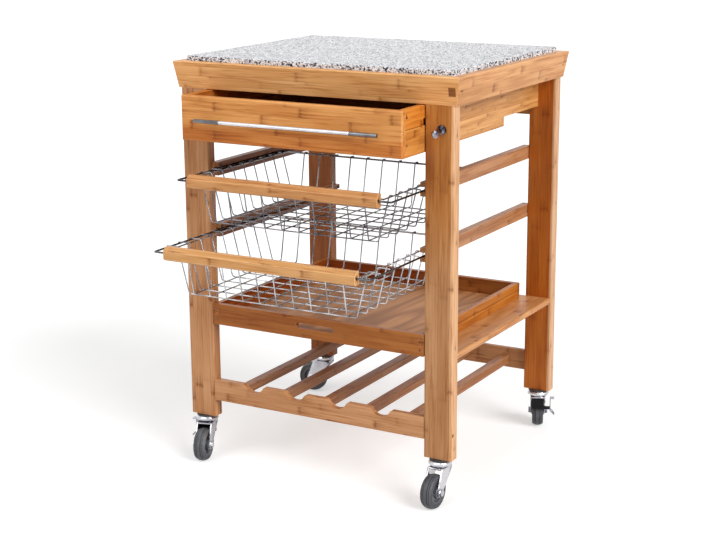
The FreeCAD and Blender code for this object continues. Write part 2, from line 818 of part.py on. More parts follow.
def fork_cheek(side):
    foot = caster_trail, axle_height
    outline = [(fork_front, fork_top), (fork_back, fork_top),
               (foot[0] + fork_foot_radius * 0.98, foot[1] + fork_foot_radius * 0.2),
               (foot[0] - fork_foot_radius * 0.85, foot[1] - fork_foot_radius * 0.52),
               (fork_front, fork_top - fork_cheek_front_drop)]
    y = cheek_inner if side > 0 else -cheek_outer
    plate = face_from_points([Vector(x, y, z) for x, z in outline])
    plate = plate.extrude(Vector(0, fork_plate, 0))
    eye = Part.makeCylinder(fork_foot_radius, fork_plate, Vector(foot[0], y, foot[1]),
                            Vector(0, 1, 0))
    return plate.fuse(eye)


def make_fork(braked):
    top_plate = box(fork_front, fork_back, -cheek_outer, cheek_outer, fork_underside, fork_top)
    top_plate = top_plate.cut(Part.makeCylinder(pivot_radius + axle_play, 2 * fork_plate,
                                                Vector(0, 0, fork_underside - 1)))
    fork = fork_race().fuse([top_plate, fork_cheek(-1), fork_cheek(1)])
    fork = fork.cut(rod(Vector(caster_trail, -cheek_outer - 1, axle_height),
                        Vector(caster_trail, cheek_outer + 1, axle_height), axle_diameter / 2))
    if braked:
        fork = fork.cut(brake_pin(axle_play, 2 * cheek_outer))
    return fork


def make_axle():
    # A bolt through both cheeks with a hexagon head and a nut.
    reach = cheek_outer + nut_height
    axle = rod(Vector(caster_trail, -reach, axle_height), Vector(caster_trail, reach, axle_height),
               axle_diameter / 2)
    corner = nut_width / math.sqrt(3)
    for start in (cheek_outer, -cheek_outer - nut_height):
        hexagon = [Vector(caster_trail + corner * math.cos(math.radians(60 * i)), start,
                          axle_height + corner * math.sin(math.radians(60 * i)))
                   for i in range(6)]
        axle = axle.fuse(face_from_points(hexagon).extrude(Vector(0, nut_height, 0)))
    return axle


def make_wheel():
    bore = axle_diameter / 2 + axle_play
    rim, web = wheel_rim_width / 2, wheel_web_width / 2
    half = [(bore, boss_half_width), (wheel_boss_radius, boss_half_width),
            (wheel_boss_radius, web), (wheel_web_radius, web), (wheel_web_radius, rim),
            (wheel_rim_diameter / 2, rim)]
    return about_axle(half + [(r, -a) for r, a in reversed(half)])


def make_tyre():
    inner, outer = wheel_rim_diameter / 2, wheel_diameter / 2
    side, flat = tyre_width / 2, tyre_tread_flat / 2
    shoulder = outer - tyre_crown
    bulge_r, bulge_a = shoulder + tyre_crown * 0.68, flat + (side - flat) * 0.55
    points = [Vector(inner, -side, 0), Vector(shoulder, -side, 0), Vector(bulge_r, -bulge_a, 0),
              Vector(outer, -flat, 0), Vector(outer, flat, 0), Vector(bulge_r, bulge_a, 0),
              Vector(shoulder, side, 0), Vector(inner, side, 0)]
    edges = [Part.makeLine(points[0], points[1]),
             Part.Arc(points[1], points[2], points[3]).toShape(),
             Part.makeLine(points[3], points[4]),
             Part.Arc(points[4], points[5], points[6]).toShape(),
             Part.makeLine(points[6], points[7]),
             Part.makeLine(points[7], points[0])]
    tyre = Part.Face(Part.Wire(edges)).revolve(Vector(0, 0, 0), Vector(0, 1, 0), 360)
    tyre.translate(Vector(caster_trail, 0, axle_height))
    return tyre


def brake_pin(play, reach):
    return rod(Vector(brake_hinge_place, -reach, brake_hinge_height),
               Vector(brake_hinge_place, reach, brake_hinge_height),
               brake_pin_diameter / 2 + play)


def make_brake_lever():
    # The block hangs on a cross pin between the cheeks, just ahead of the tyre. Its arm passes
    # under the right cheek to a steel rocker plate with a tab above and a pedal below.
    half = cheek_inner - brake_side_play
    block = box(brake_block_front, brake_block_back, -half, half,
                brake_block_bottom, brake_block_top)
    arm = box(brake_block_front, brake_arm_back, -brake_plate_reach, -half + 1,
              brake_block_bottom, brake_arm_top)
    block = block.fuse([arm, brake_pin(0, cheek_outer)])
    near, far = -brake_plate_reach, -brake_plate_reach - brake_plate
    foot = brake_plate_bottom - brake_pedal_drop
    outline = [(near, brake_plate_bottom), (near, brake_plate_top),
               (-brake_tab_reach, brake_plate_top),
               (-brake_tab_reach, brake_plate_top - brake_plate),
               (far, brake_plate_top - brake_plate), (far, brake_plate_bottom + brake_plate),
               (-brake_pedal_reach, foot + brake_pedal_thickness),
               (-brake_pedal_reach, foot)]
    start = brake_hinge_place - brake_half_width
    rocker = face_from_points([Vector(start, y, z) for y, z in outline])
    return [rocker.extrude(Vector(2 * brake_half_width, 0, 0)), block]


def make_casters():
    mounts = []
    for name, (x, y, trail, braked) in caster_places.items():
        mounts.append(placed(caster_mount(), x, y, trail))
        save("fork_" + name, placed(make_fork(braked), x, y, trail),
             placed(make_axle(), x, y, trail))
        save("wheel_" + name, placed(make_wheel(), x, y, trail))
        save("tyre_" + name, placed(make_tyre(), x, y, trail))
        if braked:
            save("brake_" + name, *[placed(s, x, y, trail) for s in make_brake_lever()])
    save("caster_mounts", *mounts)


def main():
    os.makedirs("parts", exist_ok=True)
    make_legs()
    make_crown()
    make_stone()
    make_aprons()
    make_runners()
    make_basket_rails()
    make_shelf()
    make_rack()
    make_hook()
    make_screws()
    make_drawer()
    make_pull()
    make_basket("upper_basket", upper_rail_height, upper_handle_front)
    make_basket("lower_basket", lower_rail_height, lower_handle_front)
    make_tray()
    make_casters()


main()
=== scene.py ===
import bpy
import bmesh
import json
import math
from mathutils import Matrix, Vector


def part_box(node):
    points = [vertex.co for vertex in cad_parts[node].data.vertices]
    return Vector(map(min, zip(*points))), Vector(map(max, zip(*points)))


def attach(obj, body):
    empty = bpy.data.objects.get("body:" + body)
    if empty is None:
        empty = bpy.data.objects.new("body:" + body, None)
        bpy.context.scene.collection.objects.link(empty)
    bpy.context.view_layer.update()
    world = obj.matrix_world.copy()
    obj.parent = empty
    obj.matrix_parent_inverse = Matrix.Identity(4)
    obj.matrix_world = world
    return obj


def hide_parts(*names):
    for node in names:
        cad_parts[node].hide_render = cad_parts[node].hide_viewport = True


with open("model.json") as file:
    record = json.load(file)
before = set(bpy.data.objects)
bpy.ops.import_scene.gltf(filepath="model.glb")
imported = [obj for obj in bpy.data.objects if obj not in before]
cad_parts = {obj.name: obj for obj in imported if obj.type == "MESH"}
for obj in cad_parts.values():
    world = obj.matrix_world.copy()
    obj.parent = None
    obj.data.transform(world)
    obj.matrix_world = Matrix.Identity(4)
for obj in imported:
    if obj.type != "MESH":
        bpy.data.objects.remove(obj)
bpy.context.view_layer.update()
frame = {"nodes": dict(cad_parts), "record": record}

bodyOf = {node: body for body, nodes in frame["record"]["behaviour"]["bodies"].items() for node in nodes}
print("trolley: frame loaded,", len(frame["nodes"]), "nodes")


# camera: a long lens above work height, turned to the left and down to the middle of the trolley

cameraSettings = {
    "place": (1.567606, -2.839335, 1.208729),
    "turn": 0.5166,          # to the left of straight ahead
    "dip": 0.2452,
    "roll": -0.0063,
    "lens": 76.837,
    "sensor": 36.0,
    "farthest": 200.0,
}


def addCamera(settings):
    turn, dip, roll = settings["turn"], settings["dip"], settings["roll"]
    ahead = Vector((-math.sin(turn) * math.cos(dip), math.cos(turn) * math.cos(dip), -math.sin(dip)))
    level = Vector((math.cos(turn), math.sin(turn), 0.0))
    upright = level.cross(ahead)
    right = math.cos(roll) * level + math.sin(roll) * upright
    up = -math.sin(roll) * level + math.cos(roll) * upright
    data = bpy.data.cameras.new("studioCamera")
    data.sensor_width = settings["sensor"]
    data.lens = settings["lens"]
    data.clip_end = settings["farthest"]
    camera = bpy.data.objects.new("studioCamera", data)
    facing = Matrix((right, up, -ahead)).transposed().to_4x4()
    camera.matrix_world = Matrix.Translation(settings["place"]) @ facing
    bpy.context.scene.collection.objects.link(camera)
    bpy.context.scene.camera = camera


# light: even white surround, a wide soft key from the right, a fill from the front and a weak lamp behind

lightSettings = {
    "surround": 0.24,
    "lamps": [
        # name, direction towards the lamp, strength, width in degrees
        ("keyRight", (1.0, -0.34, 0.60), 3.00, 36.0),
        ("fillFront", (-0.25, -1.0, 0.80), 1.25, 50.0),
        ("lampBehind", (-0.70, 1.0, 0.75), 0.50, 90.0),
    ],
    "floorColour": (0.72, 0.72, 0.72, 1.0),
    "floorGlow": 0.44,
    "floorRoughness": 0.7,
    "floorReach": 60.0,
    "floorHeight": -0.0004,
}
white = (1.0, 1.0, 1.0, 1.0)


def addLight(settings):
    scene = bpy.context.scene
    scene.view_settings.view_transform = "Standard"
    world = bpy.data.worlds.new("studioSurround")
    scene.world = world
    world.use_nodes = True
    tree = world.node_tree
    tree.nodes.clear()
    path = tree.nodes.new("ShaderNodeLightPath").outputs
    seen = calc(tree, "MAXIMUM", path["Is Camera Ray"], path["Is Glossy Ray"])
    seen = calc(tree, "MAXIMUM", seen, path["Is Transmission Ray"])
    strength = calc(tree, "MULTIPLY_ADD", seen, 1.0 - settings["surround"], settings["surround"])
    background = addNode(tree, "ShaderNodeBackground", {"Color": white, "Strength": strength})
    addNode(tree, "ShaderNodeOutputWorld", {"Surface": background.outputs[0]})
    for name, towards, power, width in settings["lamps"]:
        lamp = bpy.data.lights.new(name, "SUN")
        lamp.energy = power
        lamp.angle = math.radians(width)
        holder = bpy.data.objects.new(name, lamp)
        holder.rotation_euler = Vector(towards).to_track_quat("Z", "Y").to_euler()
        scene.collection.objects.link(holder)


def addFloor(settings):
    mesh = bpy.data.meshes.new("studioFloor")
    reach, height = settings["floorReach"], settings["floorHeight"]
    corners = [(side * reach, end * reach, height) for side, end in ((-1, -1), (1, -1), (1, 1), (-1, 1))]
    mesh.from_pydata(corners, [], [(0, 1, 2, 3)])
    floor = bpy.data.objects.new("studioFloor", mesh)
    bpy.context.scene.collection.objects.link(floor)
    material, tree, shader = newMaterial("paleFloor", settings["floorRoughness"], shine=0.0)
    path = tree.nodes.new("ShaderNodeLightPath").outputs
    seen = calc(tree, "MAXIMUM", path["Is Camera Ray"], path["Is Glossy Ray"])
    glow = calc(tree, "MULTIPLY", seen, settings["floorGlow"])
    for label, value in (("Base Color", settings["floorColour"]), ("Emission Color", white),
                         ("Emission Strength", glow)):
        feed(tree, shader.inputs[label], value)
    mesh.materials.append(material)


# small helpers for node trees

def feed(tree, socket, value):
    if isinstance(value, bpy.types.NodeSocket):
        tree.links.new(value, socket)
    elif value is not None:
        # a colour may be given without its alpha
        socket.default_value = (*value, 1.0) if socket.type == "RGBA" and len(value) == 3 else value


def addNode(tree, kind, inputs, **choices):
    node = tree.nodes.new(kind)
    for label, value in choices.items():
        setattr(node, label, value)
    for label, value in inputs.items():
        feed(tree, node.inputs[label], value)
    return node


def calc(tree, operation, *values):
    return addNode(tree, "ShaderNodeMath", dict(enumerate(values)), operation=operation).outputs[0]


def stretch(tree, vector, scale, plus=None):
    operation = "MULTIPLY" if plus is None else "MULTIPLY_ADD"
    return addNode(tree, "ShaderNodeVectorMath", {0: vector, 1: scale, 2: plus}, operation=operation).outputs[0]


def split(tree, value, kind="XYZ"):
    return addNode(tree, "ShaderNodeSeparate" + kind, {0: value}).outputs


def combine(tree, *values):
    return addNode(tree, "ShaderNodeCombineXYZ", dict(enumerate(values))).outputs[0]


def noise(tree, vector, scale, detail=2.0, roughness=0.5, result="Fac"):
    node = addNode(tree, "ShaderNodeTexNoise", {
        "Vector": vector, "Scale": scale, "Detail": detail, "Roughness": roughness})
    return node.outputs[result]


def ease(tree, value, low, high, lowOut=0.0, highOut=1.0):
    return addNode(tree, "ShaderNodeMapRange", {
        "Value": value, "From Min": low, "From Max": high, "To Min": lowOut, "To Max": highOut},
        interpolation_type="SMOOTHSTEP").outputs["Result"]


def blendColour(tree, amount, first, second, way="MIX"):
    return addNode(tree, "ShaderNodeMix", {"Factor": amount, 6: first, 7: second},
                   data_type="RGBA", blend_type=way).outputs[2]


def bump(tree, height, strength, distance):
    return addNode(tree, "ShaderNodeBump", {
        "Height": height, "Strength": strength, "Distance": distance}).outputs["Normal"]


def newGroup(name, inputs, outputs, kind="ShaderNodeTree"):
    tree = bpy.data.node_groups.new(name, kind)
    for label, socketKind, value in inputs:
        socket = tree.interface.new_socket(label, in_out="INPUT", socket_type=socketKind)
        if value is not None:
            socket.default_value = value
    for label, socketKind in outputs:
        tree.interface.new_socket(label, in_out="OUTPUT", socket_type=socketKind)
    return tree, tree.nodes.new("NodeGroupInput").outputs, tree.nodes.new("NodeGroupOutput").inputs


def useGroup(tree, group, **values):
    return addNode(tree, "ShaderNodeGroup", values, node_tree=group).outputs


def newMaterial(name, roughness=0.5, metallic=0.0, shine=0.5):
    material = bpy.data.materials.new(name)
    material.use_nodes = True
    tree = material.node_tree
    shader = tree.nodes["Principled BSDF"]
    shader.inputs["Roughness"].default_value = roughness
    shader.inputs["Metallic"].default_value = metallic
    shader.inputs["Specular IOR Level"].default_value = shine
    return material, tree, shader


def dress(tree, shader, colour, roughness=None, normal=None):
    for label, value in (("Base Color", colour), ("Roughness", roughness), ("Normal", normal)):
        feed(tree, shader.inputs[label], value)


def place(tree, turn=(0.0, 0.0, 0.0)):
    coordinates = tree.nodes.new("ShaderNodeTexCoord")
    return addNode(tree, "ShaderNodeMapping", {
        "Vector": coordinates.outputs["Object"],
        "Rotation": [math.radians(angle) for angle in turn]}).outputs["Vector"]


# bamboo: glued strips, each with its own tone and figure, crossed by knuckles that fade to one side

grainFigure = {
    # name: how far it is drawn out along the strip, scale, detail, roughness
    "fine": (0.020, 640.0, 4.0, 0.7),
    "wide": (0.035, 230.0, 3.0, 0.6),
    "slow": (0.30, 16.0, 2.0, 0.5),
    "blotch": (0.20, 48.0, 2.0, 0.5),
}
knuckleShape = {
    "ragged": 0.018,         # how far the fibres push the line about
    "core": (0.0016, 0.0056),
    "halo": (0.002, 0.030),
    "lopsided": -2.8,        # how much faster the halo ends on one side
    "seed": 0.37,
    "ownPlace": (1.7, 0.31, 0.23),
}


def makeBambooGrain():
    tree, given, result = newGroup("bambooGrain", [
        ("Vector", "NodeSocketVector", None),
        ("Strip Width", "NodeSocketFloat", 0.02),
        ("Strip Thickness", "NodeSocketFloat", 0.0065),
        ("Knuckle Spacing", "NodeSocketFloat", 0.26),
        ("Strip Contrast", "NodeSocketFloat", 0.4),
    ], [("Tone", "NodeSocketFloat"), ("Knuckle", "NodeSocketFloat"), ("Fibre", "NodeSocketFloat"),
        ("Streak", "NodeSocketFloat"), ("Joint", "NodeSocketFloat")])
    along, across, through = split(tree, given["Vector"])
    cellA = calc(tree, "DIVIDE", across, given["Strip Width"])
    cellB = calc(tree, "DIVIDE", through, given["Strip Thickness"])
    cell = combine(tree, calc(tree, "FLOOR", cellA), calc(tree, "FLOOR", cellB), knuckleShape["seed"])
    chance = addNode(tree, "ShaderNodeTexWhiteNoise", {"Vector": cell}).outputs["Color"]
    toneChance, placeChance, knuckleChance = split(tree, chance, "Color")

    # each strip takes its figure from another place, so the figure stops at a glue line
    vector = stretch(tree, chance, knuckleShape["ownPlace"], given["Vector"])
    fine, wide, slow, blotch = [noise(tree, stretch(tree, vector, (drawn, 1.0, 1.0)), scale, detail, roughness)
                                for drawn, scale, detail, roughness in grainFigure.values()]
    fibre = calc(tree, "MULTIPLY_ADD", fine, 0.5, calc(tree, "MULTIPLY", wide, 0.5))

    # signed distance along the strip from its nearest knuckle
    ragged = calc(tree, "MULTIPLY_ADD", calc(tree, "SUBTRACT", fine, 0.5), knuckleShape["ragged"], along)
    turns = calc(tree, "ADD", calc(tree, "DIVIDE", ragged, given["Knuckle Spacing"]),
                 calc(tree, "MULTIPLY", placeChance, 7.0))
    share = calc(tree, "SUBTRACT", calc(tree, "FRACT", turns), 0.5)
    off = calc(tree, "MULTIPLY", share, given["Knuckle Spacing"])
    core = ease(tree, calc(tree, "ABSOLUTE", off), *knuckleShape["core"], 1.0, 0.0)
    lopsided = calc(tree, "MAXIMUM", off, calc(tree, "MULTIPLY", off, knuckleShape["lopsided"]))
    halo = ease(tree, lopsided, *knuckleShape["halo"], 1.0, 0.0)
    core = calc(tree, "MULTIPLY", core, ease(tree, wide, 0.36, 0.60, 1.0, 0.55))
    halo = calc(tree, "MULTIPLY", halo, ease(tree, wide, 0.36, 0.60, 0.62, 0.18))
    weight = ease(tree, knuckleChance, 0.10, 0.75, 0.22, 1.0)
    tree.links.new(calc(tree, "MULTIPLY", calc(tree, "MAXIMUM", core, halo), weight), result["Knuckle"])

    ownTone = calc(tree, "MULTIPLY", calc(tree, "SUBTRACT", toneChance, 0.5), given["Strip Contrast"])
    tone = calc(tree, "ADD", ease(tree, slow, 0.30, 0.70, 0.15, 0.85), ownTone)
    tree.links.new(tone, result["Tone"])
    tree.links.new(fibre, result["Fibre"])
    streak = ease(tree, fibre, 0.40, 0.56, 1.0, 0.0)
    tree.links.new(calc(tree, "MULTIPLY", streak, ease(tree, blotch, 0.38, 0.62, 0.35, 1.0)), result["Streak"])
    edgeA = calc(tree, "ABSOLUTE", calc(tree, "SUBTRACT", calc(tree, "FRACT", cellA), 0.5))
    edgeB = calc(tree, "ABSOLUTE", calc(tree, "SUBTRACT", calc(tree, "FRACT", cellB), 0.5))
    joint = calc(tree, "MAXIMUM", ease(tree, edgeA, 0.475, 0.495), ease(tree, edgeB, 0.46, 0.49))
    tree.links.new(joint, result["Joint"])
    return tree


# the mask that a shaped piece carries on its eased edges, broken up by rubbing; the edges it marks are painted
# paler, partly as wear and partly as a painted highlight where light catches the rounding

def makeEdgeWearAndHighlight():
    tree, given, result = newGroup("edgeWear", [("Vector", "NodeSocketVector", None)],
                                   [("Mask", "NodeSocketFloat")])
    eased = tree.nodes.new("ShaderNodeAttribute")
    eased.attribute_name = "easedEdge"
    rubbedAndLit = ease(tree, noise(tree, given["Vector"], 55.0, 3.0), 0.32, 0.62, 0.35, 1.0)
    tree.links.new(calc(tree, "MULTIPLY", eased.outputs["Fac"], rubbedAndLit), result["Mask"])
    return tree


grainTurn = {"x": (0.0, 0.0, 0.0), "y": (0.0, 0.0, -90.0), "z": (0.0, 90.0, 0.0)}


skin = 0.0005            # depth of a tone that lies on one face only
# painted light: the right legs' right faces are painted paler to this depth
litFaceDepth = 0.0060       # how far the pale right faces reach into the right legs


def insideOf(prefix):
    # the room inside a drawer or tray, with the skin of the boards round it
    left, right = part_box(prefix + "_side_left")[1].x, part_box(prefix + "_side_right")[0].x
    front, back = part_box(prefix + "_front")[1].y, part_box(prefix + "_back")[0].y
    return (left - skin, front - skin, 0.0), (right + skin, back + skin, 1.0)


def endsOf(prefix):
    # the sides' fingers that show in the front board
    low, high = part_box(prefix + "_front")
    return (-1.0, low.y - 0.001, 0.0), (1.0, high.y - 0.0003, 1.0)


def glueLine(node, share):
    # the line between the two boards that a side is glued up from, and the room below it
    low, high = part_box(node)
    height = low.z + share * (high.z - low.z)
    return ((-1.0, -1.0, height - 0.0007), (1.0, 1.0, height + 0.0007)), ((-1.0, -1.0, 0.0), (1.0, 1.0, height))


def frontSkin(node):
    return (-1.0, -1.0, 0.0), (1.0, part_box(node)[0].y + skin, 1.0)


def rightSkin(node, depth=skin):
    return (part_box(node)[1].x - depth, -1.0, 0.0), (1.0, 1.0, 1.0)


everywhere = ((-1.0, -1.0, 0.0), (1.0, 1.0, 1.0))
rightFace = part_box("leg_front_right")[1].x
# painted light: the box of the right faces that are painted paler
litRightFaces = ((rightFace - litFaceDepth, -1.0, 0.0), (rightFace + 0.001, 1.0, 1.0))
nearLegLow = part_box("leg_front_right")[0]
backLegLow, backLegHigh = frontSkin("leg_back_right")
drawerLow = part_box("drawer_front")[0]
drawerLine, drawerBelow = glueLine("drawer_side_right", 0.58)
trayLine, trayBelow = glueLine("tray_side_right", 0.55)

legCut = {"grain": "z", "strip": (0.0065, 0.02024), "knuckles": 0.21}
crownCut = {"strip": (0.0065, 0.019), "knuckles": 0.23, "contrast": 0.25}
apronCut = {"strip": (0.0200, 0.0070), "knuckles": 0.17, "contrast": 0.7}
railCut = {"grain": "y", "strip": (0.0060, 0.0145), "knuckles": 0.19,
           "pale": (0.50, 0.242, 0.112), "deep": (0.34, 0.136, 0.048)}
gripCut = {"grain": "x", "strip": (0.0060, 0.0135), "knuckles": 0.21}
# painted shade: the back legs take a darker, deeper orange copy of the leg colours
shadedBackLegCut = {**legCut, "pale": (0.54, 0.255, 0.092), "deep": (0.38, 0.150, 0.042)}

bambooFinishes = {
    # colours are linear; strip is the size across the grain in the first and second direction after turning;
    # facing gives the pale and deep colour of one face: painted light, a paler lit face
    # painted shade: crownBambooY, on the crown's sides, is a darker copy of crownBambooX
    "crownBambooX": {**crownCut, "grain": "x", "pale": (0.90, 0.505, 0.212), "deep": (0.69, 0.325, 0.106)},
    "crownBambooY": {**crownCut, "grain": "y", "pale": (0.74, 0.380, 0.155), "deep": (0.55, 0.245, 0.078)},
    # the legs are lit and shaded copies of one bamboo: painted shade on the near leg's front and on the back
    # legs, painted light on the right legs' right faces
    "legBamboo": {**legCut, "pale": (0.58, 0.305, 0.150), "deep": (0.42, 0.185, 0.070)},
    "nearLegBamboo": {**legCut, "pale": (0.52, 0.215, 0.052), "deep": (0.35, 0.120, 0.022),
                      "facing": (*litRightFaces, (0.74, 0.44, 0.240), (0.60, 0.31, 0.140))},
    "backLegBamboo": {**shadedBackLegCut, "facing": (*litRightFaces, (0.73, 0.45, 0.270), (0.56, 0.31, 0.155))},
    "farLegBamboo": shadedBackLegCut,
    "apronBamboo": {**apronCut, "grain": "y", "pale": (0.71, 0.365, 0.126), "deep": (0.54, 0.242, 0.068)},
    "backApronBamboo": {**apronCut, "grain": "x", "pale": (0.62, 0.28, 0.100), "deep": (0.45, 0.18, 0.055)},
    "drawerFrontBamboo": {"grain": "x", "pale": (0.74, 0.350, 0.112), "deep": (0.53, 0.200, 0.044),
                          "strip": (0.0065, 0.019), "knuckles": 0.20},
    "drawerSideBamboo": {"grain": "y", "pale": (0.74, 0.275, 0.040), "deep": (0.50, 0.150, 0.016),
                         "strip": (0.0065, 0.0150), "knuckles": 0.15, "contrast": 0.6},
    "drawerInnerBamboo": {"grain": "x", "pale": (0.50, 0.245, 0.090), "deep": (0.36, 0.155, 0.048),
                          "strip": (0.0200, 0.0150), "knuckles": 0.24},
    "railBamboo": railCut,
    "farRailBamboo": railCut,
    "upperGripBamboo": {**gripCut, "pale": (0.64, 0.330, 0.135), "deep": (0.47, 0.205, 0.064)},
    "lowerGripBamboo": {**gripCut, "pale": (0.76, 0.430, 0.195), "deep": (0.57, 0.285, 0.098)},
    "shelfBamboo": {"grain": "y", "pale": (0.72, 0.370, 0.150), "deep": (0.50, 0.215, 0.068),
                    "strip": (0.0190, 0.0070), "knuckles": 0.22, "contrast": 0.5},
    "trayEndBamboo": {"grain": "x", "pale": (0.42, 0.152, 0.034), "deep": (0.27, 0.077, 0.013),
                      "strip": (0.0065, 0.0150), "knuckles": 0.23},
    "traySideBamboo": {"grain": "y", "pale": (0.50, 0.172, 0.020), "deep": (0.33, 0.092, 0.008),
                       "strip": (0.0065, 0.0150), "knuckles": 0.23},
    "rackBambooX": {"grain": "x", "pale": (0.58, 0.300, 0.146), "deep": (0.40, 0.178, 0.068),
                    "strip": (0.0065, 0.0155), "knuckles": 0.18},
    # painted shade: the slats are a darker copy of the rack's bamboo
    "rackBambooY": {"grain": "y", "pale": (0.40, 0.180, 0.078), "deep": (0.25, 0.098, 0.034),
                    "strip": (0.0100, 0.0090), "knuckles": 0.20},
}

glueTone = (0.30, 0.20, 0.14)
boardTones = {
    # the tone multiplies a finish inside the box between two corners, and may fade:
    # axis, the place where the tone is full and the place where it has gone
    "crownBambooX": [((0.3040, -0.300, 0.8270), (0.3190, -0.255, 0.8440), (0.34, 0.24, 0.18))],
    # painted shade: the near leg keeps a deep shaded orange at the top and is lifted paler lower down, all but
    # its right face
    "nearLegBamboo": [(nearLegLow - Vector((0.01, 0.01, 0.01)), (rightFace - litFaceDepth, 1.0, 1.0),
                       (1.04, 1.32, 2.55), (2, 0.42, 0.66)),
                      # painted shade and reflection: a red-brown patch on the leg's left edge under the hook, by
                      # the drawer
                      ((nearLegLow.x - 0.001, -1.0, 0.0), (rightFace - 0.012, 1.0, 1.0), (0.56, 0.34, 0.24),
                       (0, nearLegLow.x, nearLegLow.x + 0.030), (2, 0.690, 0.780), (2, 0.690, 0.600))],
    # painted shade on the back right leg's front face
    "backLegBamboo": [(backLegLow, (rightFace - litFaceDepth, *backLegHigh[1:]), (0.97, 0.62, 0.24))],
    # painted shade on the back left leg's front and right faces
    "farLegBamboo": [(*frontSkin("leg_back_left"), (0.62, 0.44, 0.30)),
                     (*rightSkin("leg_back_left"), (0.62, 0.44, 0.30))],
    # painted shade inside the drawer; the front's lowest strip is deeper in tone
    "drawerFrontBamboo": [(*insideOf("drawer"), (0.68, 0.58, 0.52)),
                          (everywhere[0], (1.0, 1.0, drawerLow.z + 0.032), (0.92, 0.76, 0.60))],
    # painted shade inside the drawer; a dark glue line and a paler lower board
    "drawerSideBamboo": [(*insideOf("drawer"), (0.68, 0.62, 0.80)), (*drawerLine, glueTone),
                         (*drawerBelow, (1.05, 1.28, 2.10))],
    # painted shade on the far rails' inner faces
    "farRailBamboo": [(*rightSkin("rail_upper_left", 0.0100), (0.62, 0.52, 0.46))],
    # painted shade inside the tray, darkest at the left
    "trayEndBamboo": [(*insideOf("tray"), (0.72, 0.46, 0.38), (0, -0.06, 0.10))],
    # painted shade inside the tray; the fingers in the front board in their own tone, a dark glue line and a
    # paler lower board
    "traySideBamboo": [(*insideOf("tray"), (0.70, 0.46, 0.50)), (*endsOf("tray"), (0.80, 0.84, 1.6)),
                       (*trayLine, glueTone), (*trayBelow, (1.10, 1.16, 1.30))],
}


def patchMask(tree, low, high, *fades):
    # one inside the box between the two corners, zero outside, less along a fade
    spots = split(tree, place(tree))
    mask = None
    for spot, least, most in zip(spots, low, high):
        inside = calc(tree, "MULTIPLY", calc(tree, "GREATER_THAN", spot, least),
                      calc(tree, "LESS_THAN", spot, most))
        mask = inside if mask is None else calc(tree, "MULTIPLY", mask, inside)
    for axis, full, gone in fades:
        ends = (full, gone, 1.0, 0.0) if full < gone else (gone, full, 0.0, 1.0)
        mask = calc(tree, "MULTIPLY", mask, ease(tree, spots[axis], *ends))
    return mask


# how much paler eased edges are painted: partly wear, partly a painted highlight
wornAndLitEdge = {"paler": 1.16, "lift": 0.03, "share": 0.5}
grainTones = [
    # part of the grain, its share and the tone that multiplies the colour there
    ("Streak", 0.85, (0.66, 0.49, 0.34)),
    ("Joint", 0.12, (0.40, 0.30, 0.25)),
    ("Knuckle", 1.0, (0.46, 0.31, 0.20)),
]


def makeBamboo(name, finish):
    material, tree, shader = newMaterial(name, shine=0.20)
    vector = place(tree, grainTurn[finish["grain"]])
    grain = useGroup(tree, bambooGrain, **{
        "Vector": vector, "Strip Width": finish["strip"][0], "Strip Thickness": finish["strip"][1],
        "Knuckle Spacing": finish["knuckles"], "Strip Contrast": finish.get("contrast", 0.35)})
    pale, deep = finish["pale"], finish["deep"]
    # painted light: one face takes paler colours
    if "facing" in finish:
        low, high, litPale, litDeep = finish["facing"]
        mask = patchMask(tree, low, high)
        pale = blendColour(tree, mask, pale, litPale)
        deep = blendColour(tree, mask, deep, litDeep)
    colour = blendColour(tree, grain["Tone"], deep, pale)
    for part, share, tone in grainTones:
        colour = blendColour(tree, calc(tree, "MULTIPLY", grain[part], share), colour, tone, "MULTIPLY")
    # eased edges are painted paler: partly wear, partly a painted highlight where light catches the rounding
    wearAndHighlight = useGroup(tree, edgeWear, Vector=vector)["Mask"]
    rubbedAndLit = tuple(min(1.0, part * wornAndLitEdge["paler"] + wornAndLitEdge["lift"]) for part in finish["pale"])
    colour = blendColour(tree, calc(tree, "MULTIPLY", wearAndHighlight, wornAndLitEdge["share"]), colour, rubbedAndLit)
    # board tones: painted shade on inner, far and front faces, painted light and shade on the near leg, and real
    # marks such as glue lines and a dark joint
    for low, high, tone, *fades in boardTones.get(name, ()):
        colour = blendColour(tree, patchMask(tree, low, high, *fades), colour, tone, "MULTIPLY")
    dress(tree, shader, colour, ease(tree, grain["Fibre"], 0.2, 0.8, 0.46, 0.33),
          bump(tree, grain["Fibre"], 0.25, 0.0004))
    return material


# the darker tone along the front board's inside is painted shade
veneer = {"pale": (0.56, 0.270, 0.116), "deep": (0.39, 0.172, 0.068), "ring": (0.29, 0.122, 0.048),
          "corner": (0.42, 0.34, 0.28), "cornerReach": (0.004, 0.045), "rings": 26.0, "turn": -86.0}


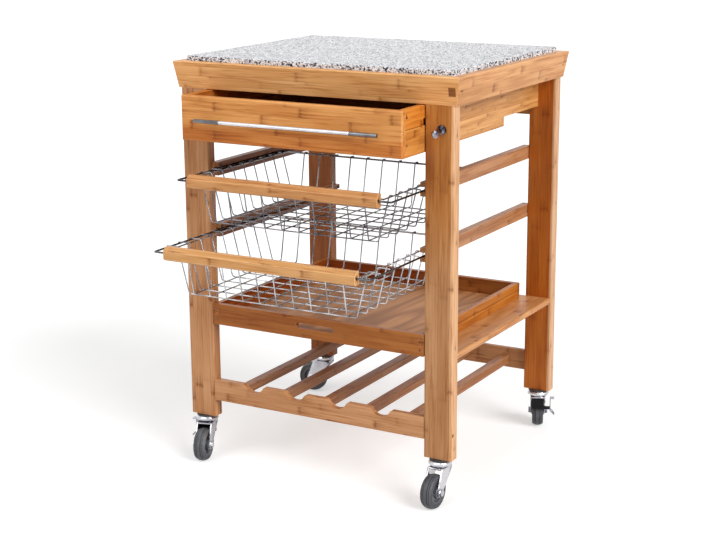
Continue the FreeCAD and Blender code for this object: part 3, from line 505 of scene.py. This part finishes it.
def makeVeneer(finish):
    # greyish veneer sheet in the bottom of the tray: figure rings drawn out from front to back
    material, tree, shader = newMaterial("trayVeneer", roughness=0.55, shine=0.25)
    vector = place(tree, (0.0, 0.0, finish["turn"]))
    long = noise(tree, stretch(tree, vector, (0.05, 1.0, 1.0)), 90.0, 4.0, 0.6)
    swell = noise(tree, stretch(tree, vector, (0.22, 1.0, 1.0)), 5.5, 1.0)
    spread = calc(tree, "MULTIPLY_ADD", swell, finish["rings"], calc(tree, "MULTIPLY", long, 0.8))
    rings = ease(tree, calc(tree, "PINGPONG", spread, 1.0), 0.35, 1.0, 0.0, 0.80)
    colour = blendColour(tree, ease(tree, long, 0.3, 0.7), finish["deep"], finish["pale"])
    colour = blendColour(tree, rings, colour, finish["ring"])
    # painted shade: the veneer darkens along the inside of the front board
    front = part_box("tray_front")[1].y
    full, gone = finish["cornerReach"]
    corner = patchMask(tree, *everywhere, (1, front + full, front + gone))
    colour = blendColour(tree, corner, colour, finish["corner"], "MULTIPLY")
    dress(tree, shader, colour, normal=bump(tree, long, 0.2, 0.0003))
    return material


# stone: white and pale grey feldspar with black and slate grains

stoneShades = [
    # place on the scale from the darkest grain to the palest, and its colour
    (0.00, (0.014, 0.016, 0.026)), (0.20, (0.030, 0.034, 0.055)), (0.23, (0.22, 0.23, 0.29)),
    (0.32, (0.38, 0.39, 0.45)), (0.37, (0.72, 0.72, 0.74)), (1.00, (0.88, 0.88, 0.89))]
stoneWarp = {"scale": 420.0, "shift": 0.0022}


def makeStoneSpeckle():
    tree, given, result = newGroup("stoneSpeckle", [
        ("Vector", "NodeSocketVector", None), ("Grains Per Metre", "NodeSocketFloat", 330.0)],
        [("Grain", "NodeSocketFloat"), ("Cloud", "NodeSocketFloat")])
    warp = noise(tree, given["Vector"], stoneWarp["scale"], result="Color")
    warped = stretch(tree, warp, (stoneWarp["shift"],) * 3, given["Vector"])
    shades = []
    for ratio in (1.0, 2.1):
        cells = addNode(tree, "ShaderNodeTexVoronoi", {
            "Vector": warped, "Scale": calc(tree, "MULTIPLY", given["Grains Per Metre"], ratio)})
        shades.append(split(tree, cells.outputs["Color"], "Color")[0])
    cloud = noise(tree, given["Vector"], 60.0, 2.0)
    lift = calc(tree, "MULTIPLY", calc(tree, "SUBTRACT", cloud, 0.5), 0.26)
    coarse = calc(tree, "ADD", shades[0], lift)
    fine = calc(tree, "MULTIPLY_ADD", shades[1], 1.0, 0.10)
    tree.links.new(calc(tree, "MINIMUM", coarse, fine), result["Grain"])
    tree.links.new(cloud, result["Cloud"])
    return tree


def makeStone():
    material, tree, shader = newMaterial("speckledStone", shine=0.14)
    speckle = useGroup(tree, stoneSpeckle, Vector=place(tree))
    ramp = tree.nodes.new("ShaderNodeValToRGB")
    while len(ramp.color_ramp.elements) < len(stoneShades):
        ramp.color_ramp.elements.new(0.5)
    for element, (spot, shade) in zip(ramp.color_ramp.elements, stoneShades):
        element.position = spot
        element.color = shade + (1.0,)
    tree.links.new(speckle["Grain"], ramp.inputs[0])
    dress(tree, shader, ramp.outputs[0], ease(tree, speckle["Cloud"], 0.3, 0.7, 0.24, 0.34))
    return material


# metals: drawn wire, plated parts and pressed zinc share one fine surface effect

def makeMetalGrain():
    tree, given, result = newGroup("metalGrain", [
        ("Vector", "NodeSocketVector", None), ("Scale", "NodeSocketFloat", 200.0)],
        [("Fine", "NodeSocketFloat"), ("Patch", "NodeSocketFloat")])
    tree.links.new(noise(tree, given["Vector"], given["Scale"], 3.0, 0.6), result["Fine"])
    patchScale = calc(tree, "MULTIPLY", given["Scale"], 0.12)
    tree.links.new(noise(tree, given["Vector"], patchScale, 2.0), result["Patch"])
    return tree


metalFinishes = {
    # name: bright and dull colour, least and most roughness, scale of the patches
    # painted light and shade: the lower basket's front, right wall and floor take a lit, paler copy of the
    # basket wire; the darker basket wire stays on the upper basket and the left and back walls
    "basketWire": ((0.30, 0.30, 0.32), (0.10, 0.10, 0.115), (0.14, 0.26), 220.0),
    "lowBasketWire": ((0.60, 0.60, 0.62), (0.26, 0.26, 0.28), (0.14, 0.26), 220.0),
    "slideWire": ((0.12, 0.12, 0.125), (0.05, 0.05, 0.055), (0.14, 0.26), 220.0),
    "handleSteel": ((0.66, 0.66, 0.69), (0.56, 0.56, 0.59), (0.16, 0.24), 240.0),
    "handleEnds": ((0.20, 0.20, 0.21), (0.13, 0.13, 0.14), (0.12, 0.20), 240.0),
    "hookChrome": ((0.36, 0.36, 0.42), (0.03, 0.03, 0.05), (0.04, 0.10), 420.0),
    "forkZinc": ((0.62, 0.62, 0.65), (0.30, 0.30, 0.34), (0.16, 0.34), 130.0),
    "rockerZinc": ((0.32, 0.33, 0.38), (0.13, 0.135, 0.16), (0.20, 0.38), 130.0),
    "screwSteel": ((0.20, 0.18, 0.16), (0.08, 0.07, 0.06), (0.35, 0.55), 300.0),
}
# painted shade: the gap in the forks under the race is painted dark
shadeUnderRace = ((-1.0, -1.0, 0.0811), (1.0, 1.0, 0.0845), (0.10, 0.10, 0.11))   # in the forks, under the race


def makeMetal(name, finish):
    bright, dull, rough, scale = finish
    material, tree, shader = newMaterial(name, metallic=1.0)
    grain = useGroup(tree, metalGrain, Vector=place(tree), Scale=scale)
    patch = ease(tree, grain["Patch"], 0.35, 0.65)
    colour = blendColour(tree, patch, dull, bright)
    # painted shade in the forks' gap under the race
    if name == "forkZinc":
        low, high, tone = shadeUnderRace
        colour = blendColour(tree, patchMask(tree, low, high), colour, tone, "MULTIPLY")
    dress(tree, shader, colour, ease(tree, grain["Fine"], 0.3, 0.7, *rough),
          bump(tree, grain["Fine"], 0.06, 0.0002))
    return material


mouldedFinishes = {
    # name: clean and dusty colour, least and most roughness, scale of the dust, shine
    "greyTyre": ((0.060, 0.062, 0.070), (0.150, 0.150, 0.156), (0.48, 0.72), 160.0, 0.5),
    # the grooves' darker rubber is painted shade in the pressed rings
    "tyreGroove": ((0.012, 0.012, 0.015), (0.030, 0.030, 0.034), (0.60, 0.80), 160.0, 0.5),
    "hubPlastic": ((0.050, 0.052, 0.068), (0.240, 0.245, 0.270), (0.14, 0.30), 180.0, 0.5),
    "brakePlastic": ((0.006, 0.006, 0.007), (0.016, 0.016, 0.018), (0.36, 0.56), 200.0, 0.15),
    "darkPlate": ((0.020, 0.020, 0.022), (0.060, 0.058, 0.055), (0.40, 0.62), 220.0, 0.5),
}


def makeMoulded(name, finish):
    clean, dusty, rough, scale, shine = finish
    material, tree, shader = newMaterial(name, shine=shine)
    vector = place(tree)
    grain = useGroup(tree, metalGrain, Vector=vector, Scale=scale)
    wearAndHighlight = useGroup(tree, edgeWear, Vector=vector)["Mask"]
    dust = ease(tree, grain["Patch"], 0.45, 0.75, 0.0, 0.7)
    # eased edges take the paler dusty colour: partly wear, partly a painted highlight
    dust = calc(tree, "MAXIMUM", dust, calc(tree, "MULTIPLY", wearAndHighlight, 0.8))
    dress(tree, shader, blendColour(tree, dust, clean, dusty), ease(tree, grain["Fine"], 0.3, 0.7, *rough),
          bump(tree, grain["Fine"], 0.15, 0.0003))
    return material


bambooGrain = makeBambooGrain()
edgeWear = makeEdgeWearAndHighlight()
stoneSpeckle = makeStoneSpeckle()
metalGrain = makeMetalGrain()
finishes = {name: makeBamboo(name, finish) for name, finish in bambooFinishes.items()}
finishes.update({name: makeMetal(name, finish) for name, finish in metalFinishes.items()})
finishes.update({name: makeMoulded(name, finish) for name, finish in mouldedFinishes.items()})
finishes["trayVeneer"] = makeVeneer(veneer)
finishes["speckledStone"] = makeStone()
print("trolley: finishes made,", len(finishes))

addCamera(cameraSettings)
addLight(lightSettings)
addFloor(lightSettings)
print("trolley: camera, light and floor set")


# finishing a piece

def linkPiece(name, mesh, finish):
    mesh.materials.clear()
    mesh.materials.append(finishes[finish])
    piece = bpy.data.objects.new(name, mesh)
    bpy.context.scene.collection.objects.link(piece)
    return piece


def plainMesh(piece):
    evaluated = piece.evaluated_get(bpy.context.evaluated_depsgraph_get())
    mesh = bpy.data.meshes.new_from_object(evaluated)
    piece.modifiers.clear()
    piece.data = mesh
    return piece


def smooth(mesh, sharpFrom):
    for polygon in mesh.polygons:
        polygon.use_smooth = True
    mesh.set_sharp_from_angle(angle=math.radians(sharpFrom))


def secondFinish(piece, finish, belongs):
    # faces whose middle belongs take another finish
    piece.data.materials.append(finishes[finish])
    for polygon in piece.data.polygons:
        if belongs(polygon.center):
            polygon.material_index = 1


def settle(piece, slot, *nodes):
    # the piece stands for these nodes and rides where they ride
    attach(piece, bodyOf[nodes[0]])
    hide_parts(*nodes)


# boards: the cut shapes stay, and their sharp edges are eased as sanding leaves them

boards = {
    # node: (finish, how much its edges are eased)
    "leg_front_left": ("legBamboo", 0.0009), "leg_front_right": ("nearLegBamboo", 0.0009),
    "leg_back_left": ("farLegBamboo", 0.0009), "leg_back_right": ("backLegBamboo", 0.0009),
    "crown_front": ("crownBambooX", 0.0008), "crown_back": ("crownBambooX", 0.0008),
    "crown_left": ("crownBambooY", 0.0008), "crown_right": ("crownBambooY", 0.0008),
    "apron_left": ("apronBamboo", 0.0008), "apron_right": ("apronBamboo", 0.0008),
    "apron_back": ("backApronBamboo", 0.0008), "drawer_runners": ("railBamboo", 0.0006),
    "rail_upper_left": ("farRailBamboo", 0.0008), "rail_upper_right": ("railBamboo", 0.0008),
    "rail_lower_left": ("farRailBamboo", 0.0008), "rail_lower_right": ("railBamboo", 0.0008),
    "shelf": ("shelfBamboo", 0.0007),
    "rack_front_rail": ("rackBambooX", 0.0010), "rack_back_rail": ("rackBambooX", 0.0010),
    "rack_slats": ("rackBambooY", 0.0010),
    "drawer_front": ("drawerFrontBamboo", 0.0005), "drawer_side_left": ("drawerSideBamboo", 0.0007),
    "drawer_side_right": ("drawerSideBamboo", 0.0007), "drawer_back": ("drawerInnerBamboo", 0.0007),
    "drawer_bottom": ("drawerInnerBamboo", 0.0004),
    "tray_front": ("trayEndBamboo", 0.0007), "tray_back": ("trayEndBamboo", 0.0007),
    "tray_side_left": ("traySideBamboo", 0.0007), "tray_side_right": ("traySideBamboo", 0.0007),
    "tray_bottom": ("trayVeneer", 0.0003),
    "upper_basket_handle": ("upperGripBamboo", 0.0010), "lower_basket_handle": ("lowerGripBamboo", 0.0010),
}


easing = {
    # angles in degrees, lengths in metres
    "sharp": 28.0, "shading": 48.0, "flat": 0.6, "weld": 0.00002, "sliver": 0.000003, "weldAgain": 0.000002,
}


def easedCopy(node, finish, size):
    shape = bmesh.new()
    shape.from_mesh(frame["nodes"][node].data)
    bmesh.ops.remove_doubles(shape, verts=shape.verts, dist=easing["weld"])
    bmesh.ops.recalc_face_normals(shape, faces=shape.faces)
    bmesh.ops.dissolve_limit(shape, angle_limit=math.radians(easing["flat"]),
                             verts=shape.verts, edges=shape.edges)
    mask = shape.faces.layers.float.new("easedEdge")
    edges = [edge for edge in shape.edges
             if len(edge.link_faces) == 2 and edge.calc_face_angle(0.0) > math.radians(easing["sharp"])
             and edge.calc_length() > size]
    made = bmesh.ops.bevel(shape, geom=edges, offset=size, segments=2, profile=0.5, affect="EDGES",
                           clamp_overlap=True)
    for face in made["faces"]:
        face[mask] = 1.0
    # slivers left where easings meet go, before and after the large faces are cut into triangles
    bmesh.ops.dissolve_degenerate(shape, dist=easing["sliver"], edges=shape.edges)
    bmesh.ops.remove_doubles(shape, verts=shape.verts, dist=easing["weldAgain"])
    bmesh.ops.triangulate(shape, faces=[face for face in shape.faces if len(face.verts) > 4])
    bmesh.ops.dissolve_degenerate(shape, dist=easing["sliver"], edges=shape.edges)
    mesh = bpy.data.meshes.new(camel(node))
    shape.to_mesh(mesh)
    shape.free()
    smooth(mesh, easing["shading"])
    piece = linkPiece(camel(node), mesh, finish)
    even = piece.modifiers.new("evenShading", "WEIGHTED_NORMAL")
    even.keep_sharp = True
    return plainMesh(piece)


def camel(node):
    first, *rest = node.split("_")
    return first + "".join(word.capitalize() for word in rest)


for node, (finish, size) in boards.items():
    slot = "veneer" if finish == "trayVeneer" else "bamboo"
    settle(easedCopy(node, finish, size), slot, node)
print("trolley: boards eased,", len(boards))

settle(easedCopy("granite_top", "speckledStone", 0.0006), "granite", "granite_top")


# rows: every repeated thing is one thing set on points, made real and painted

def endRow(tree, copies, given, result):
    real = addNode(tree, "GeometryNodeRealizeInstances", {0: copies})
    paint = addNode(tree, "GeometryNodeSetMaterial", {"Geometry": real.outputs[0], "Material": given["Finish"]})
    feed(tree, result["Geometry"], paint.outputs[0])


def runRow(group, mesh, values):
    piece = bpy.data.objects.new(group.name, mesh)
    bpy.context.scene.collection.objects.link(piece)
    modifier = piece.modifiers.new(group.name, "NODES")
    modifier.node_group = group
    for item in group.interface.items_tree:
        if item.in_out == "INPUT" and item.name in values:
            modifier[item.identifier] = values[item.name]
    return plainMesh(piece)


# wires: one bent wire is drawn as a line, then rounded at its bends, given its thickness and repeated

def makeWireRow():
    tree, given, result = newGroup("wireRow", [
        ("Geometry", "NodeSocketGeometry", None),
        ("Thickness", "NodeSocketFloat", 0.0026),
        ("Wires", "NodeSocketInt", 1),
        ("Step", "NodeSocketVector", (0.0, 0.0, 0.0)),
        ("Sides", "NodeSocketInt", 10),
        ("Bend Steps", "NodeSocketInt", 6),
        ("Finish", "NodeSocketMaterial", None),
    ], [("Geometry", "NodeSocketGeometry")], "GeometryNodeTree")
    line = addNode(tree, "GeometryNodeMeshToCurve", {"Mesh": given["Geometry"]})
    bend = addNode(tree, "GeometryNodeInputNamedAttribute", {"Name": "bend"}, data_type="FLOAT")
    rounded = addNode(tree, "GeometryNodeFilletCurve", {
        "Curve": line.outputs[0], "Count": given["Bend Steps"], "Radius": bend.outputs[0]}, mode="POLY")
    section = addNode(tree, "GeometryNodeCurvePrimitiveCircle", {
        "Resolution": given["Sides"], "Radius": calc(tree, "MULTIPLY", given["Thickness"], 0.5)})
    wire = addNode(tree, "GeometryNodeCurveToMesh", {
        "Curve": rounded.outputs[0], "Profile Curve": section.outputs[0], "Fill Caps": True})
    row = addNode(tree, "GeometryNodeMeshLine", {"Count": given["Wires"], "Offset": given["Step"]})
    copies = addNode(tree, "GeometryNodeInstanceOnPoints", {
        "Points": row.outputs[0], "Instance": wire.outputs[0]})
    endRow(tree, copies.outputs[0], given, result)
    return tree


def rowOfWires(points, bends, thickness, count, step, finish, closed=False):
    mesh = bpy.data.meshes.new("wireLine")
    edges = [(i, i + 1) for i in range(len(points) - 1)]
    if closed:
        edges.append((len(points) - 1, 0))
    mesh.from_pydata(points, edges, [])
    radii = mesh.attributes.new("bend", "FLOAT", "POINT")
    radii.data.foreach_set("value", bends)
    return runRow(wireRow, mesh, {"Thickness": thickness, "Wires": count, "Step": step,
                                  "Finish": finishes[finish]})


def joined(name, pieces):
    # several pieces made one, keeping each one's finish
    for other in bpy.context.selected_objects:
        other.select_set(False)
    for piece in pieces:
        piece.select_set(True)
    bpy.context.view_layer.objects.active = pieces[0]
    bpy.ops.object.join()
    whole = bpy.context.view_layer.objects.active
    whole.name = name
    whole.data.name = name
    whole.select_set(False)
    smooth(whole.data, 40.0)
    return whole


basket = {
    "slideWire": 0.0040, "rimWire": 0.0030, "meshWire": 0.0026,
    "slideBend": 0.0040, "crestBend": 0.0040, "floorBend": 0.0060,
    "rimRise": 0.0020, "rimSide": 0.0220, "rimFront": 0.0120, "rimBack": 0.0080,
    "crestSetback": 0.0047, "sideLean": 0.0290, "endLean": 0.0230, "margin": 0.0055,
    "depth": 0.0880, "sink": 0.0003, "gap": 0.00002,
    "longWires": 10, "longInset": 0.0116, "crossWires": 9, "crossInset": 0.0023,
}


def makeBasketWires(prefix, make, finish):
    low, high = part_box(prefix + "_slide_frame")
    half, gap = make["slideWire"] / 2, make["gap"]
    meshHalf, rimHalf = make["meshWire"] / 2, make["rimWire"] / 2
    wireZ = (low.z + high.z) / 2
    slideX, frontY, backY = high.x - half, low.y + half, high.y - half
    rimX, rimZ = slideX - make["rimSide"], wireZ + make["rimRise"]
    rimFront, rimBack = frontY + make["rimFront"], backY - make["rimBack"]
    floorFront, floorBack = rimFront + make["endLean"], rimBack - make["endLean"]
    floorX = rimX - make["sideLean"]
    flatX = floorX - make["margin"]
    flatFront, flatBack = floorFront + make["margin"], floorBack - make["margin"]
    floorZ = wireZ - make["depth"]
    crossZ = floorZ - meshHalf + make["sink"] / 2
    longZ = floorZ + meshHalf - make["sink"] / 2
    crestZ = rimZ + rimHalf + meshHalf - make["sink"]
    stubZ = wireZ + half + meshHalf + gap
    crossFirst, crossLast = flatFront + make["crossInset"], flatBack - make["crossInset"]
    crossStep = (crossLast - crossFirst) / (make["crossWires"] - 1)
    longFirst = make["longInset"] - flatX
    longStep = -2 * longFirst / (make["longWires"] - 1)
    bends = [0.0, make["crestBend"], make["floorBend"], 0.0]
    setback = make["crestSetback"]

    thick, rim = make["meshWire"], make["rimWire"]
    rows = [rowOfWires([(-slideX, frontY, wireZ), (slideX, frontY, wireZ), (slideX, backY, wireZ),
                        (-slideX, backY, wireZ)], [make["slideBend"]] * 4, make["slideWire"], 1,
                       (0, 0, 0), "slideWire", closed=True)]

    def straight(first, last, thickness, count, step):
        rows.append(rowOfWires([first, last], [0.0, 0.0], thickness, count, step, finish))

    for side in (-1, 1):
        wall = [(side * slideX, crossFirst, stubZ), (side * (rimX - setback), crossFirst, crestZ),
                (side * floorX, crossFirst, crossZ), (side * flatX, crossFirst, crossZ)]
        # painted shade: the left wall always takes the darker basket wire
        rows.append(rowOfWires(wall, bends, thick, make["crossWires"], (0, crossStep, 0),
                               finish if side > 0 else "basketWire"))
        straight((side * rimX, rimFront - rimHalf, rimZ), (side * rimX, rimBack + rimHalf, rimZ),
                 rim, 1, (0, 0, 0))
    barHalf = rimX - rimHalf - gap
    for rimY, startY, startZ, floorY, way in ((rimFront, rimFront - rimHalf, crestZ, floorFront, 1),
                                              (rimBack, backY, stubZ, floorBack, -1)):
        wall = [(longFirst, startY, startZ), (longFirst, rimY + way * setback, crestZ),
                (longFirst, floorY, longZ), (longFirst, floorY + way * make["margin"], longZ)]
        # painted shade: the back wall always takes the darker basket wire
        rows.append(rowOfWires(wall, bends, thick, make["longWires"], (longStep, 0, 0),
                               finish if way > 0 else "basketWire"))
        straight((-barHalf, rimY, rimZ), (barHalf, rimY, rimZ), rim, 1, (0, 0, 0))
    # a hair's gap keeps each floor wire's ends off the wall wires' ends
    straight((-flatX + gap, crossFirst, crossZ), (flatX - gap, crossFirst, crossZ), thick,
             make["crossWires"], (0, crossStep, 0))
    straight((longFirst, flatFront + gap, longZ), (longFirst, flatBack - gap, longZ), thick,
             make["longWires"], (longStep, 0, 0))
    wires = joined(camel(prefix) + "Wires", rows)
    parts = ("_slide_frame", "_side_walls", "_end_walls", "_floor")
    settle(wires, "basket_wire", *[prefix + part for part in parts])


wireRow = makeWireRow()
makeBasketWires("upper_basket", basket, "basketWire")
# painted light: the lower basket's front, right wall and floor take the paler wire
makeBasketWires("lower_basket", basket, "lowBasketWire")
print("trolley: basket wires bent")


# turned parts: a closed outline of (radius, place along the axis) pairs carried round the axis

def turned(name, outline, centre, axis, finish, steps):
    axis = Vector(axis).normalized()
    side = axis.orthogonal().normalized()
    other = axis.cross(side)
    shape = bmesh.new()
    rings = []
    for i in range(steps):
        angle = 2 * math.pi * i / steps
        outwards = math.cos(angle) * side + math.sin(angle) * other
        rings.append([shape.verts.new(centre + radius * outwards + along * axis) for radius, along in outline])
    count = len(outline)
    for i in range(steps):
        ring, following = rings[i], rings[(i + 1) % steps]
        for j in range(count):
            k = (j + 1) % count
            shape.faces.new((ring[j], ring[k], following[k], following[j]))
    bmesh.ops.remove_doubles(shape, verts=shape.verts, dist=0.000005)
    bmesh.ops.recalc_face_normals(shape, faces=shape.faces)
    mesh = bpy.data.meshes.new(name)
    shape.to_mesh(mesh)
    shape.free()
    smooth(mesh, 38.0)
    return linkPiece(name, mesh, finish)


pull = {"radius": 0.0040, "length": 0.4160, "posts": 0.1580, "postRadius": 0.0031, "groove": 0.0004}


def makePull(make):
    low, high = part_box("drawer_handle")
    centre = Vector((0.0, low.y + make["radius"], (low.z + high.z) / 2))
    radius, half, mark = make["radius"], make["length"] / 2, make["posts"] - 0.010
    inner = radius - make["groove"]
    end = [(0.0, -half), (radius - 0.0009, -half), (radius - 0.0002, -half + 0.0004), (radius, -half + 0.0010)]
    outline = list(end)
    for way in (-1, 1):
        outline += [(radius, way * mark - 0.0008), (inner, way * mark - 0.0004),
                    (inner, way * mark + 0.0004), (radius, way * mark + 0.0008)]
    outline += [(across, -along) for across, along in reversed(end)]
    bar = turned("pullBar", outline, centre, (1, 0, 0), "handleSteel", 32)
    secondFinish(bar, "handleEnds", lambda spot: abs(spot.x) > mark)
    parts = [bar]
    reach, stem = high.y - centre.y, make["postRadius"]
    post = [(0.0, 0.0), (stem, 0.0), (stem, reach - 0.0025), (stem + 0.0001, reach - 0.0018), (stem, reach),
            (0.0, reach)]
    for way in (-1, 1):
        spot = centre + Vector((way * make["posts"], 0.0, 0.0))
        parts.append(turned("pullPost", post, spot, (0, 1, 0), "handleSteel", 24))
    settle(joined("drawerPull", parts), "polished_steel", "drawer_handle")


makePull(pull)


# casters

casterTrails = {"front_left": -75.0, "front_right": -92.0, "back_right": 112.0, "back_left": 185.0}

wheelShape = {
    "tyreRadius": 0.0355, "rimRadius": 0.0280, "tyreHalf": 0.0125, "tread": 0.0036,
    "rimHalf": 0.0110, "webHalf": 0.0060, "webRadius": 0.0198, "bossRadius": 0.0120, "bossHalf": 0.0142,
    "bore": 0.00405,
    # radius and distance from the middle of the tyre's pressed grooves
    "grooves": [(0.0346, 0.0043), (0.0335, 0.0077), (0.0303, 0.0116)],
}


def tyreOutline(make):
    # one half from the tread's middle to the bead, with two shallow rings pressed into the side wall
    outer, bead, half, tread = make["tyreRadius"], make["rimRadius"], make["tyreHalf"], make["tread"]
    side = [(outer, tread * 0.5), (outer - 0.0001, tread), (outer - 0.0009, tread + 0.0003),
            (outer - 0.0009, tread + 0.0012), (outer - 0.0004, tread + 0.0016), (outer - 0.0010, tread + 0.0034),
            (outer - 0.0020, tread + 0.0037), (outer - 0.0020, tread + 0.0045),
            (outer - 0.0017, half - 0.0037), (outer - 0.0027, half - 0.0022), (outer - 0.0034, half - 0.0009),
            (outer - 0.0042, half - 0.0002), (outer - 0.0046, half),
            (outer - 0.0049, half - 0.0009), (outer - 0.0055, half - 0.0009), (outer - 0.0058, half),
            (bead + 0.0011, half), (bead + 0.0008, half - 0.0005), (bead + 0.0004, half - 0.0006),
            (bead, half - 0.0010)]
    return side + [(radius, -along) for radius, along in reversed(side)]


def wheelOutline(make):
    rim, rimHalf, web, webRadius = make["rimRadius"], make["rimHalf"], make["webHalf"], make["webRadius"]
    boss, bossHalf, bore = make["bossRadius"], make["bossHalf"], make["bore"]
    side = [(rim, rimHalf - 0.0003), (rim - 0.0004, rimHalf), (rim - 0.0016, rimHalf),
            (rim - 0.0020, rimHalf - 0.0009), (rim - 0.0026, rimHalf - 0.0009), (rim - 0.0030, rimHalf - 0.0001),
            (webRadius + 0.0010, rimHalf - 0.0002), (webRadius + 0.0003, rimHalf - 0.0009),
            (webRadius, web + 0.0008), (webRadius - 0.0006, web),
            (boss + 0.0030, web), (boss + 0.0008, web + 0.0009), (boss, web + 0.0030), (boss, bossHalf - 0.0008),
            (boss - 0.0008, bossHalf), (bore + 0.0004, bossHalf), (bore, bossHalf - 0.0004)]
    return side + [(radius, -along) for radius, along in reversed(side)]


def wheelPlace(name):
    low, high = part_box("wheel_" + name)
    trail = math.radians(casterTrails[name])
    return (low + high) / 2, Vector((-math.sin(trail), math.cos(trail), 0.0))


def makeCaster(name, make):
    centre, axle = wheelPlace(name)
    label = camel(name)[0].upper() + camel(name)[1:]

    def outFrom(spot):
        # how far out from the axle, and how far along it
        arm = spot - centre
        return (arm - arm.dot(axle) * axle).length, abs(arm.dot(axle))

    def inGroove(spot):
        radius, along = outFrom(spot)
        return any(abs(radius - at) < 0.0004 and abs(along - off) < 0.0007 for at, off in make["grooves"])

    tyre = turned("tyre" + label, tyreOutline(make), centre, axle, "greyTyre", 64)
    # painted shade: the pressed rings take the darker groove rubber
    secondFinish(tyre, "tyreGroove", inGroove)
    settle(tyre, "grey_rubber", "tyre_" + name)
    wheel = turned("wheel" + label, wheelOutline(make), centre, axle, "hubPlastic", 64)
    # the rubber is moulded over the rim as far as the web
    secondFinish(wheel, "greyTyre", lambda spot: outFrom(spot)[0] > make["webRadius"])
    settle(wheel, "hub_plastic", "wheel_" + name)
    settle(easedCopy("fork_" + name, "forkZinc", 0.0005), "zinc_fork", "fork_" + name)


brakeShape = {"braked": ("front_left", "back_right"), "easing": 0.0006, "rockerOut": 0.0269}


def makeBrake(name, make):
    # a plastic block on the tyre, and the pressed rocker plate outside the fork that the foot tips
    centre, axle = wheelPlace(name)
    brake = easedCopy("brake_" + name, "brakePlastic", make["easing"])
    secondFinish(brake, "rockerZinc", lambda spot: (centre - spot).dot(axle) > make["rockerOut"])
    settle(brake, "brake_plastic", "brake_" + name)


for name in casterTrails:
    makeCaster(name, wheelShape)
for name in brakeShape["braked"]:
    makeBrake(name, brakeShape)
print("trolley: casters made")


# screws that the photograph shows sunk in the drawer's sides and the tray's corners

screwHead = {"radius": 0.0019, "rise": 0.0003, "sunk": 0.0004, "inset": 0.0075}
trayScrews = {"inset": 0.0085, "below": 0.0011, "drops": (0.00900, 0.03300)}


def makeScrewRow():
    tree, given, result = newGroup("screwRow", [
        ("Geometry", "NodeSocketGeometry", None),
        ("Radius", "NodeSocketFloat", 0.002),
        ("Thickness", "NodeSocketFloat", 0.0007),
        ("Turn", "NodeSocketVector", (0.0, 0.0, 0.0)),
        ("Finish", "NodeSocketMaterial", None),
    ], [("Geometry", "NodeSocketGeometry")], "GeometryNodeTree")
    radius, thickness = given["Radius"], given["Thickness"]
    head = addNode(tree, "GeometryNodeMeshCone", {
        "Vertices": 20, "Radius Top": calc(tree, "MULTIPLY", radius, 0.82), "Radius Bottom": radius,
        "Depth": thickness})
    size = combine(tree, calc(tree, "MULTIPLY", radius, 1.1), calc(tree, "MULTIPLY", radius, 0.28),
                   calc(tree, "MULTIPLY", thickness, 2.0))
    socket = addNode(tree, "GeometryNodeMeshCube", {"Size": size})
    raised = addNode(tree, "GeometryNodeTransform", {
        "Geometry": socket.outputs["Mesh"],
        "Translation": combine(tree, 0.0, 0.0, calc(tree, "MULTIPLY", thickness, 1.6))})
    cut = addNode(tree, "GeometryNodeMeshBoolean", {
        "Mesh 1": head.outputs["Mesh"], "Mesh 2": raised.outputs[0]}, operation="DIFFERENCE")
    turn = addNode(tree, "FunctionNodeEulerToRotation", {0: given["Turn"]})
    copies = addNode(tree, "GeometryNodeInstanceOnPoints", {
        "Points": given["Geometry"], "Instance": cut.outputs["Mesh"], "Rotation": turn.outputs[0]})
    endRow(tree, copies.outputs[0], given, result)
    return tree


def rowOfScrews(points, facing):
    mesh = bpy.data.meshes.new("screwSpots")
    mesh.from_pydata(points, [], [])
    turn = Vector(facing).to_track_quat("Z", "Y").to_euler()
    return runRow(screwRow, mesh, {"Radius": screwHead["radius"], "Turn": tuple(turn),
                                   "Thickness": screwHead["rise"] + screwHead["sunk"],
                                   "Finish": finishes["screwSteel"]})


def setScrews(name, rows, node):
    heads = joined(name, rows)
    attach(heads, bodyOf[node])


def makeDrawerScrews():
    rows = []
    for side, way in (("left", -1), ("right", 1)):
        low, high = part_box("drawer_side_" + side)
        face = high.x if way > 0 else low.x
        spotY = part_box("drawer_front")[1].y + screwHead["inset"]
        tall = high.z - low.z
        spots = [(face - way * screwHead["sunk"], spotY, high.z - tall * share) for share in (0.17, 0.74)]
        rows.append(rowOfScrews(spots, (way, 0, 0)))
    setScrews("drawerScrews", rows, "drawer_front")


def makeTrayScrews():
    # each sits at the bottom of its hole in the front board
    low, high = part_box("tray_front")
    spots = [(way * (high.x - trayScrews["inset"]), low.y + trayScrews["below"], high.z - drop)
             for way in (-1, 1) for drop in trayScrews["drops"]]
    setScrews("trayScrews", [rowOfScrews(spots, (0, -1, 0))], "tray_front")


screwRow = makeScrewRow()
makeDrawerScrews()
makeTrayScrews()
print("trolley: screws set in the drawer and tray")


# parts whose cut shape is right as it is

keptNodes = {"hook": "hookChrome", "frame_screws": "screwSteel", "caster_mounts": "darkPlate"}
for node, finish in keptNodes.items():
    mesh = frame["nodes"][node].data
    mesh.materials.clear()
    mesh.materials.append(finishes[finish])

print("trolley: done")
